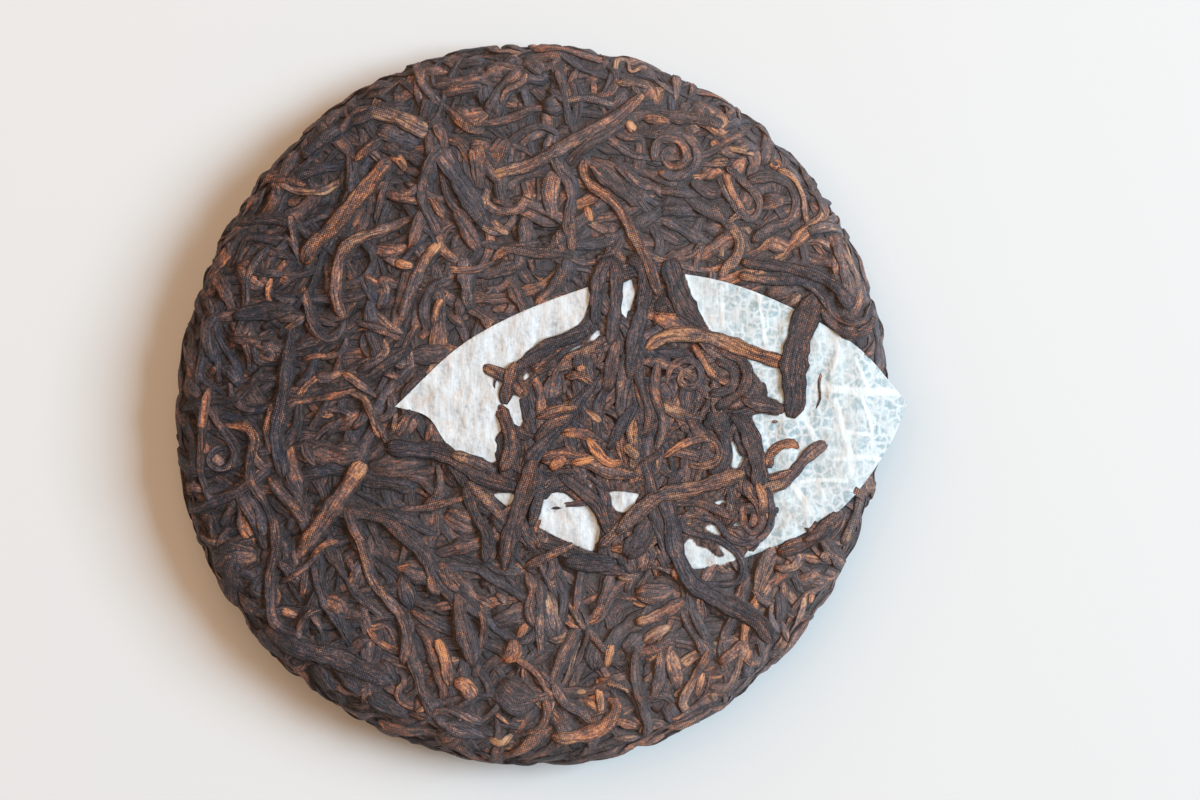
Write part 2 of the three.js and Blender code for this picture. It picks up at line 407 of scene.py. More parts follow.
def random_strand(pile, draws, flow, allowed, choices=4, edge=50):
    """One random strand of a random kind, laid along the local flow or across it, and round the rim."""
    names = list(KINDS)
    shares = np.array([KINDS[name][0] for name in names])
    kind = names[draws.choice(len(names), p=shares / shares.sum())]
    _, length_range, width_range, flatness, bend, sway = KINDS[kind]
    width = draws.uniform(*width_range)
    length = draws.uniform(*length_range)
    x, y = pile.lowest(draws, choices, allowed)
    heading = math.radians(70) + 1.1 * flow(x, y) + draws.normal(0, 0.5)
    if draws.random() < 0.35:
        heading = draws.uniform(0, TAU)
    if math.hypot(x, y) > edge and draws.random() < 0.75:
        heading = math.atan2(y, x) + TAU / 4 + draws.normal(0, 0.4)
    bend = bend * draws.choice([-1, 1]) * draws.uniform(0.4, 1.3)
    line = curled_line((x, y), heading, length, bend, sway, draws)
    line = trimmed(line, allowed)
    stub = line[:1] + np.arange(LEAST_STEPS)[:, None] * (0.3, 0.3)
    line = stub if len(line) < LEAST_STEPS else even(line, STEP)
    tone_shares = [share for share, _, _ in TONES]
    _, low, high = TONES[draws.choice(len(TONES), p=tone_shares)]
    tone = draws.uniform(low, high)
    return Strand(kind, line, width, max(THINNEST, flatness * width), tone, draws)


def named_strand(kind, width, tone, points, draws, over=False):
    """A strand at a place of its own, through a few points."""
    flatness = 0.28 if kind == LEAF else 0.55
    thickness = max(min(0.5, width), flatness * width)
    strand = Strand(kind, through(points, STEP), width, thickness, tone, draws, fray=0.35)
    strand.tuck = strand.tuck * (0.4 if over else 1)
    strand.over = over
    return strand


# ---------------------------------------------------------------- the strands that show best

# kind, width, tone, then x and y of each point it runs through; laid in this order, the last on top
FACE_STRANDS = [
    # upper left
    (LONG, 1.6, 0.2, -51, 14, -50.6, 9, -51.6, 3),
    (LONG, 1.4, 0.25, -48.4, 14.6, -50, 11, -49, 6),
    (LEAF, 2.8, 0.08, -46, 13.6, -41, 14.4, -35.6, 14.6),
    (LONG, 1.5, 0.45, -44, 19, -42.5, 22, -39.8, 24.8),
    (SHORT, 1.2, 0.65, -39.4, 20.2, -37.4, 22.4),
    (SHORT, 1.5, 0.62, -39, 19.6, -36.6, 18.6),
    (STALK, 1.0, 0.55, -40, 20, -40.6, 17, -39.8, 15),
    (SHORT, 1.6, 0.64, -44, 10.6, -43, 12.4),
    (SHORT, 0.9, 0.6, -41.6, 11, -40, 12.8),
    (LONG, 1.2, 0.65, -37, 29, -36.6, 26.4, -35.9, 22.6),
    (LEAF, 2.8, 0.48, -41.8, 8.4, -39.6, 8.6, -39.2, 6.4),
    (SHORT, 1.2, 0.64, -35.9, 0.9, -34, 3, -31.9, 4.7),
    (SHORT, 1.0, 0.6, -35.2, 6.8, -33, 7.5, -31, 7.4),
    (STALK, 0.8, 0.62, -29.9, 1.9, -29.2, 4),
    (LONG, 1.2, 0.5, -28.6, 4.8, -26.2, 3.2, -23.2, 1),
    (LONG, 1.3, 0.68, -27.8, 1.8, -25.5, 1, -24.4, -1, -23.5, -3.5, -22.5, -5.5),
    (STALK, 1.0, 0.45, -38.4, 11.2, -36, 12.4, -34.6, 13.4),
    (STALK, 1.0, 0.35, -35.4, 21, -36.2, 24, -38.4, 26.6),
    (SHORT, 1.4, 0.5, -49.8, 4.2, -48.6, 5.8),
    (LEAF, 2.6, 0.5, -31, 23, -30.4, 19, -30.4, 16),
    (LONG, 1.8, 0.68, -28.6, 13.2, -29.6, 16, -29.6, 20, -29, 23, -27, 25, -23, 26.4, -17.6, 28.6),
    (SHORT, 1.0, 0.64, -33.8, 18.4, -31.6, 16),
    (CURL, 1.3, 0.42, -35.2, 18.5, -34, 14.5, -33, 11.6, -31, 10, -29, 11.2, -28.4, 13.6),
    (LONG, 2.4, 0.66, -35.1, 21.6, -33.4, 24.4, -30.5, 27, -26, 32, -21.4, 37.4),
    (SHORT, 1.5, 0.6, -21.6, 37.8, -20, 37.2, -18.9, 35.4),
    (LONG, 1.1, 0.5, -21.8, 34.6, -23, 31, -23.8, 27.8),
    (LONG, 1.4, 0.25, -27, 37, -24, 39.4, -22, 40.6),
    (LEAF, 3.0, 0.12, -23.6, 42, -20, 40.6, -17, 39.6),
    (SHORT, 1.2, 0.5, -24.2, 38.8, -22.4, 38.4),
    (LONG, 1.0, 0.5, -29.4, 40.4, -28.4, 43, -26.4, 44.8, -23.4, 44.8),
    (LEAF, 2.5, 0.74, -25.2, 44.8, -20, 43.4, -15.4, 41),
    (SHORT, 1.2, 0.62, -20, 47.4, -18.8, 46),
    (LONG, 1.6, 0.4, -15.6, 48.6, -11, 48.8, -7, 49.6),
    (LONG, 1.4, 0.4, -14, 47, -10.4, 47.6, -7, 48),
    (SHORT, 1.3, 0.6, -20, 33.2, -18.6, 32, -17, 33.4),
    (LEAF, 3.0, 0.1, -13.8, 38.7, -10, 32.5, -6.4, 26.5),
    (SHORT, 1.6, 0.52, -15.2, 31.6, -13.2, 28.4),
    (LONG, 1.3, 0.36, -13.6, 39.4, -15.6, 36.4, -16.6, 32, -15.6, 28.4),
    (LONG, 2.2, 0.4, -11.8, 29.8, -9.6, 26.4, -8, 23.4),
    (LEAF, 2.6, 0.4, -8.6, 40.4, -8, 36.4, -7.8, 32.6),
    (SHORT, 1.3, 0.66, -9.6, 41.6, -8.8, 40.8),
    # left of the ticket
    (LEAF, 2.4, 0.52, -24, 24, -21.6, 23.4, -18.6, 24),
    (SHORT, 1.4, 0.68, -20.6, 21.6, -18, 21),
    (SHORT, 1.4, 0.62, -25.4, 19.6, -23, 18.4),
    (LONG, 1.4, 0.2, -26, 19.8, -24.4, 17, -23.6, 15.4),
    (LONG, 1.4, 0.6, -23.6, 14, -21.6, 12, -19.4, 10.8),
    (LONG, 1.3, 0.3, -27.6, 12.8, -24, 12, -21.4, 11.4),
    (LONG, 1.2, 0.4, -22.4, 10, -22, 8, -24.6, 6, -27, 5),
    (STALK, 1.0, 0.6, -22.4, 4.6, -20.4, 4.2, -19.4, 3),
    (LONG, 1.8, 0.56, -13.6, 25, -16, 22, -17.6, 18.6, -19, 15, -19.6, 12.6),
    (LONG, 1.3, 0.36, -14, 18.6, -17, 16, -17.6, 12.6, -18, 10),
    (LONG, 1.6, 0.12, -12, 19, -15, 17.6, -16.2, 14, -15.6, 11),
    (LONG, 1.2, 0.64, -12.6, 17, -14.2, 15, -14.8, 12),
    (LONG, 1.1, 0.5, -16.6, 12.8, -18.4, 10.4, -19.6, 8),
    (SHORT, 1.2, 0.68, -18.4, 8.2, -18.2, 5.2),
    (SHORT, 1.0, 0.62, -13.4, 12, -13.4, 10),
    (LONG, 1.2, 0.45, -13, 20.6, -9, 20.4, -5, 21.8),
    (LONG, 1.4, 0.2, -20.6, -5, -19, -2.4, -18.6, -1.2),
    (SHORT, 1.3, 0.66, -18.8, -4.8, -17.2, -1.8),
    (STALK, 1.0, 0.6, -20.8, -4, -20.4, -1),
    # top
    (SHORT, 1.3, 0.82, -6, 28.6, -4.8, 26.8, -3.4, 26),
    (CURL, 1.5, 0.66, -6.2, 33.6, -6.9, 30.8, -4.6, 29.3, -1.6, 29.8, -0.2, 32),
    (LEAF, 2.8, 0.3, -6.2, 43.3, -4.5, 47, -0.9, 50.9),
    (CURL, 0.9, 0.6, -4.6, 45.4, -3.8, 47.4, -1.2, 48.8, -0.8, 51),
    (LEAF, 2.6, 0.46, 3.6, 35.6, 2.9, 32, 3.4, 28.4),
    (LONG, 1.9, 0.5, -6.2, 34.6, 0, 36.4, 4.6, 38.8, 9, 41.4, 13, 43.6, 17, 47),
    (SHORT, 1.2, 0.52, 4.8, 45.8, 8.6, 46.4, 12.8, 45.4),
    (STALK, 0.9, 0.64, 4.8, 41.2, 5.6, 43.2),
    (SHORT, 1.0, 0.64, 5.7, 48.4, 7, 51),
    (LEAF, 3.0, 0.35, -1, 53, 0.4, 51.6, 1.8, 50.4),
    (STALK, 0.9, 0.6, 4.4, 53.6, 4.8, 51.8),
    (STALK, 0.9, 0.74, 12.9, 48.8, 15, 48.6, 18.8, 48.2),
    (CURL, 0.8, 0.66, 12.8, 50.4, 13.2, 53, 15, 53.8, 15.2, 50.8, 17.6, 52, 18.4, 51),
    (SHORT, 1.6, 0.62, 16.8, 43.6, 19, 43.2, 21.6, 42.6),
    (SHORT, 1.4, 0.6, 22.6, 45.2, 24.6, 45.8),
    (SHORT, 1.4, 0.6, 23, 41.4, 25.6, 42),
    (SHORT, 1.4, 0.6, 14.6, 43, 16, 41.2),
    (SHORT, 1.1, 0.7, 5.6, 26.8, 7.8, 27.4),
    (SHORT, 1.3, 0.62, 8.4, 30, 9.2, 27.8),
    (LEAF, 3.8, 0.14, 8.8, 37.2, 12.6, 34.4, 16.8, 30.4),
    (LONG, 1.5, 0.28, 12, 37.6, 15.6, 34, 17.8, 31.8),
    (STALK, 0.9, 0.5, 14.2, 35.4, 17, 33, 19.4, 33),
    (CURL, 1.3, 0.46, 22.3, 37.6, 21, 38.8, 20.1, 37.4, 21.6, 36, 23.6, 37.2, 22.6, 39.9, 19.3, 40, 18.6,
     37),
    (CURL, 1.4, 0.34, 19.4, 35.2, 22.2, 34.5, 25, 36.4, 24.8, 39.6, 22.4, 41.6),
    # upper right
    (LEAF, 2.0, 0.66, 27.4, 40, 28.8, 38.4),
    (SHORT, 1.1, 0.86, 29.4, 39, 32, 38.4, 34.2, 37.8),
    (SHORT, 1.8, 0.78, 36.6, 37, 37.6, 36),
    (SHORT, 1.4, 0.15, 38.6, 37, 41.4, 33.6),
    (CURL, 1.0, 0.35, 42, 33.6, 43.8, 31.6, 44.2, 28.6),
    (LONG, 1.6, 0.42, 41.4, 26, 45, 27, 49, 26.2),
    (CURL, 1.2, 0.3, 28.3, 35.4, 29.6, 32, 32.6, 28.2, 34.2, 28.6, 34.4, 31.2, 31.6, 34.2, 29.6, 36),
    (CURL, 1.1, 0.6, 29.2, 35.6, 30.4, 32.2, 32.4, 28.8),
    (LONG, 1.8, 0.2, 32.6, 33.8, 36, 34.6, 39.2, 33.6, 40.4, 31, 39.6, 28, 36.6, 26.8, 33.4, 24.6),
    (LONG, 1.0, 0.66, 37.4, 35.6, 39.8, 34.4, 41.2, 31.4, 41.6, 28.6, 41.8, 27),
    (SHORT, 1.4, 0.74, 41.2, 29, 41.8, 27),
    (LEAF, 2.8, 0.5, 35.6, 24.8, 37.6, 24.2, 39.4, 23.6),
    (SHORT, 1.2, 0.56, 42.8, 24.6, 44.6, 22.6),
    (SHORT, 1.0, 0.6, 33, 26, 33.8, 23.4),
    (LONG, 1.1, 0.6, 46.6, 24.4, 48.2, 22, 50, 20.4),
    (LONG, 1.1, 0.64, 48.2, 25, 49.4, 22, 51.6, 18.8),
    (STALK, 1.1, 0.5, 25.4, 23, 25, 21, 25.2, 19.2),
    (STALK, 0.9, 0.62, 29, 24, 28.6, 21.6),
    (LONG, 1.6, 0.64, 30.2, 27.2, 31.6, 24.6, 31, 22, 29.4, 20.6, 28.8, 18.6),
    # left rim and lower left
    (LEAF, 2.4, 0.36, -37, -5.6, -36.2, -10, -34.6, -14),
    (SHORT, 1.4, 0.6, -34.9, -5.4, -34, -7.6, -32.6, -9.4),
    (STALK, 1.0, 0.5, -31.8, -0.6, -28.4, -1, -26.2, -2.4),
    (SHORT, 1.0, 0.58, -32, -4.4, -29.6, -5.4),
    (STALK, 0.9, 0.5, -30.6, -6.4, -28.6, -7, -26.6, -7.2),
    (LONG, 1.2, 0.48, -39.6, 0, -40.3, -4, -39.6, -6.6, -38.8, -8.8),
    (STALK, 1.1, 0.3, -50.6, -2.6, -50.3, -8, -50, -12, -48, -15.4),
    (CURL, 1.1, 0.42, -46.6, -6.4, -48.4, -6.9, -49, -8.8, -47.4, -9.8, -45.6, -9.2, -45.3, -7.2, -46.6,
     -5.2, -48.8, -4),
    (LONG, 1.6, 0.72, -47.4, -3.2, -45.6, -3.3, -43.2, -3.7, -42.1, -5.4, -42.4, -7.6, -41.2, -9, -40.2,
     -10.4),
    (LONG, 2, 0.2, -36.6, 12.4, -37.2, 7, -38, 0, -38.8, -5, -37.6, -11),
    (LONG, 1.4, 0.4, -45, -12.5, -43.2, -15.4, -41.6, -18.6, -40.2, -22),
    (LONG, 1.4, 0.32, -43.4, -12.6, -41.4, -16, -40.2, -20.4),
    (LONG, 1.8, 0.6, -40, -11, -37.6, -13.8, -35.8, -15.6, -34.2, -18),
    (LONG, 1.5, 0.42, -42.6, -7, -42.6, -11, -40.4, -15, -38.8, -18.6, -38.7, -22, -39.4, -25.6, -39.4, -30,
     -38.6, -33.4, -35.8, -34.6, -33.2, -35.9),
    (LONG, 2.7, 0.58, -25.4, -8.8, -28.4, -13.4, -31.6, -17.6, -35.6, -23.6),
    (LONG, 1.0, 0.56, -38.4, -27.2, -35.6, -25.6, -33, -23.4, -30.8, -20.6, -29.4, -18.8),
    (STALK, 0.9, 0.6, -33.6, -23.6, -31.6, -21.4, -29.2, -20.6),
    (LONG, 1.3, 0.62, -24.4, -20, -24.4, -23, -24.6, -25),
    (LONG, 1.6, 0.56, -27.8, -15.6, -27, -18.6, -25.6, -21, -24.9, -23.4, -24.2, -26.4, -21.8, -29.4, -19.6,
     -32.4, -18.8, -36, -19.6, -39.4),
    (SHORT, 1.0, 0.58, -28, -22.6, -27, -25),
    (SHORT, 1.6, 0.66, -38, -31, -36.4, -31.6, -35, -32),
    (LEAF, 2.6, 0.5, -31.2, -29.6, -29, -30.4, -28.6, -32),
    (LEAF, 2.8, 0.1, -34.4, -40, -32.4, -42, -31, -43.6),
    (CURL, 1.1, 0.3, -34, -39, -35.4, -40.6, -37, -39.6, -37, -38.2, -35, -37.4),
    (LEAF, 2.2, 0.1, -29.6, -41.4, -27.4, -42.2, -26, -43.6),
    (LEAF, 3.0, 0.2, -41.4, -33.6, -36, -36.6, -30, -38.2, -25.4, -40.2, -21.4, -42),
    (SHORT, 1.2, 0.35, -31.6, -40, -30.6, -42.6, -30, -44),
    (SHORT, 1.3, 0.6, -29.8, -42.4, -28.6, -43.8, -27.4, -44.6),
    (LONG, 1.3, 0.45, -30.6, -46.2, -27, -47.6, -23, -48),
    (LEAF, 2.8, 0.12, -24.6, -44, -21.4, -46, -18.6, -47.6),
    (SHORT, 1.1, 0.62, -25.6, -33.6, -23.6, -33.8, -22, -33.2, -20.8, -34.8, -20.4, -36.6),
    (LEAF, 2.6, 0.1, -19.4, -26, -18.8, -28.6, -18.2, -31),
    (SHORT, 1.0, 0.7, -21, -25.2, -18.6, -24.6, -17.4, -24.4),
    (SHORT, 1.2, 0.5, -18.6, -32.6, -17, -33),
    (LONG, 1.2, 0.64, -21.2, -39.8, -19.6, -40.8, -19.2, -42.2, -20.2, -43.4, -19.8, -44.8, -17.4, -46.2),
    # bottom
    (SHORT, 1.7, 0.58, -15.2, -26, -14.8, -28, -13, -28.4),
    (LEAF, 2.4, 0.35, -14, -24, -12.6, -26, -10.8, -28),
    (LONG, 2.6, 0.33, -10.8, -29, -10.6, -33, -9.2, -37, -8.8, -40),
    (LONG, 1.0, 0.5, -8, -30, -7.2, -33, -7.6, -37),
    (SHORT, 1.0, 0.66, -7.4, -38, -6.6, -41),
    (LONG, 1.8, 0.66, -14.2, -35.6, -13, -38.6, -12.4, -42.6),
    (LEAF, 2.8, 0.7, -11.6, -42, -10, -42.6, -8.6, -44.4),
    (LEAF, 5.0, 0.2, -4.6, -42, -2.4, -44.4, 0.6, -44.8),
    (SHORT, 2.4, 0.74, -2.6, -35.6, -2.6, -37.6, -4.4, -38.8),
    (LONG, 0.9, 0.66, -2.4, -38.4, -0.4, -39.6, 1.4, -41.4, 2.4, -43.2, 4.4, -45),
    (LEAF, 2.8, 0.38, 2.6, -28.4, 3, -32, 3.4, -35.6),
    (LONG, 1.8, 0.42, -0.6, -25.4, 0.4, -28.4, -0.2, -31, 0.8, -34),
    (LONG, 1.4, 0.4, 1.4, -27, 1.4, -30, 1.4, -34.4, 1.6, -38.4),
    (SHORT, 1.4, 0.62, -5.2, -28.6, -3.6, -30),
    (SHORT, 1.2, 0.66, 7, -30, 8, -31.6),
    (LONG, 1.6, 0.45, 3.4, -42, 5, -45, 8, -46.6, 9.4, -48),
    (SHORT, 1.6, 0.8, 6.6, -43.6, 8.8, -43.6),
    (STALK, 1.0, 0.6, 8, -42.4, 8.6, -41),
    (LONG, 1.3, 0.45, 2.2, -44.4, 2.4, -46.6, 1.4, -49, -1, -50),
    (LEAF, 3.4, 0.3, -15, -51.4, -12.4, -51, -11, -49.8),
    (LEAF, 2.4, 0.3, -13.6, -48.4, -10, -49.4, -7, -50.6),
    (LONG, 1.6, 0.35, -13.4, -45.8, -10, -47, -7.2, -48.4),
    (STALK, 0.7, 0.68, -5.4, -46.8, -3.4, -48.4),
    (SHORT, 1.4, 0.68, -6.6, -50.8, -4.6, -51.4, -2.8, -50),
    # lower right
    (LEAF, 3.0, 0.42, 16, -28.6, 19, -28.6, 21.6, -28.2),
    (SHORT, 1.5, 0.76, 13.2, -26, 16.2, -26.2),
    (SHORT, 1.2, 0.66, 15.4, -29.8, 17.4, -30.4),
    (LONG, 1.6, 0.15, 24, -30.4, 25.4, -33, 27, -36),
    (LONG, 1.8, 0.42, 16, -33, 19.4, -32, 22.6, -30.2, 24, -29.8),
    (LONG, 2.0, 0.25, 19.6, -37, 19.6, -41, 18.4, -45),
    (LEAF, 2.4, 0.42, 21, -37, 21.8, -40, 22.4, -43.6),
    (SHORT, 1.0, 0.62, 21.6, -40, 22.4, -41.4),
    (LEAF, 3.0, 0.08, 20.6, -45.4, 21.6, -47.4, 22.4, -48),
    (LONG, 2.0, 0.4, 20.6, -49.4, 25, -49, 28.6, -47.6),
    (LONG, 1.4, 0.55, 28, -36.4, 26, -39.6, 24, -43, 23, -45.4, 24.4, -47.4),
    (LONG, 1.0, 0.5, 26.4, -40, 25.6, -43, 25.2, -45),
    (LONG, 1.8, 0.82, 17, -36.2, 18.8, -34.8, 21.2, -33.6),
    (STALK, 0.7, 0.66, 17.6, -36.2, 18.6, -37.8),
    (SHORT, 1.4, 0.74, 12.2, -35.6, 12, -37.2, 11.4, -40),
    (STALK, 0.8, 0.6, 14.6, -35.8, 14.4, -37.2),
    (LONG, 1.6, 0.2, 15.8, -37.4, 15.8, -41, 16.6, -45, 17.8, -48.4, 17.4, -51),
    (LONG, 1.2, 0.64, 10, -41.6, 12.6, -42.2, 14.6, -43, 15.2, -44.6),
    (LONG, 1.1, 0.7, 10, -41.6, 10.4, -44, 10.6, -47),
    (SHORT, 1.2, 0.6, 12, -51, 14.6, -50.8, 16.6, -51),
    (LONG, 2.2, 0.72, 3, -50.3, 6, -50.4, 9, -49.6, 11.6, -48.2, 13, -46, 12.6, -44.8, 11, -44.8),
    (SHORT, 1.6, 0.58, 28.4, -36, 31.2, -35.8),
    (LEAF, 2.2, 0.45, 28.8, -39.4, 31, -38, 33, -36.2),
    (LEAF, 2.6, 0.42, 27, -41.6, 29.6, -41.2, 30.6, -40.6),
    (LONG, 1.4, 0.5, 26.8, -43.2, 30, -43, 31.6, -41, 32, -38.4, 33.6, -36.8),
    (SHORT, 2.2, 0.64, 27.6, -44.2, 28.6, -46),
    (SHORT, 1.4, 0.55, 34, -37.6, 33, -39.2, 35.4, -40),
    (LONG, 1.2, 0.3, 33, -36.8, 34.8, -36, 35.4, -38.2, 35, -39.4),
    (LONG, 1.5, 0.25, 30.4, -45.4, 32.6, -44, 34.6, -42),
    (SHORT, 1.2, 0.62, 30, -28, 30.8, -30.6),
    (SHORT, 0.9, 0.7, 33.2, -29, 33, -32),
    (LEAF, 1.8, 0.4, 34.4, -30.6, 35.6, -33),
    (SHORT, 1.2, 0.62, 37, -27.6, 35.4, -29.8),
    (LONG, 1.2, 0.5, 37.4, -30, 37, -33, 38.6, -35.6),
    (LONG, 2.0, 0.15, 38.2, -28.6, 38.4, -31.6, 38.4, -34),
    (LONG, 1.0, 0.62, 38.4, -33, 39.4, -35.4, 40, -37),
    (LONG, 1.6, 0.35, 36.6, -38.6, 38.4, -39, 39.8, -37.8),
    (LEAF, 2.2, 0.35, 40.4, -27.4, 43, -27, 45, -25.6),
    (LONG, 1.2, 0.5, 42.6, -29, 41.4, -33, 40.6, -36.6),
    (SHORT, 1.4, 0.6, 43.2, -27.8, 45.4, -27.6),
    (SHORT, 1.2, 0.72, 43.6, -29.4, 43.4, -31),
    (LONG, 1.8, 0.58, 38.6, -22, 36.4, -23, 35.2, -26, 34.4, -29.4),
    (LONG, 1.6, 0.64, 37.5, -25, 40, -25.2, 41.4, -24, 41.2, -22.6),
    (SHORT, 1.3, 0.7, 46, -22.6, 47.2, -22.4),
    (SHORT, 1.0, 0.6, 44.6, -23.6, 46, -22.8),
    (LONG, 1.0, 0.5, 48.8, -17, 48, -19.4, 46.4, -21),
]

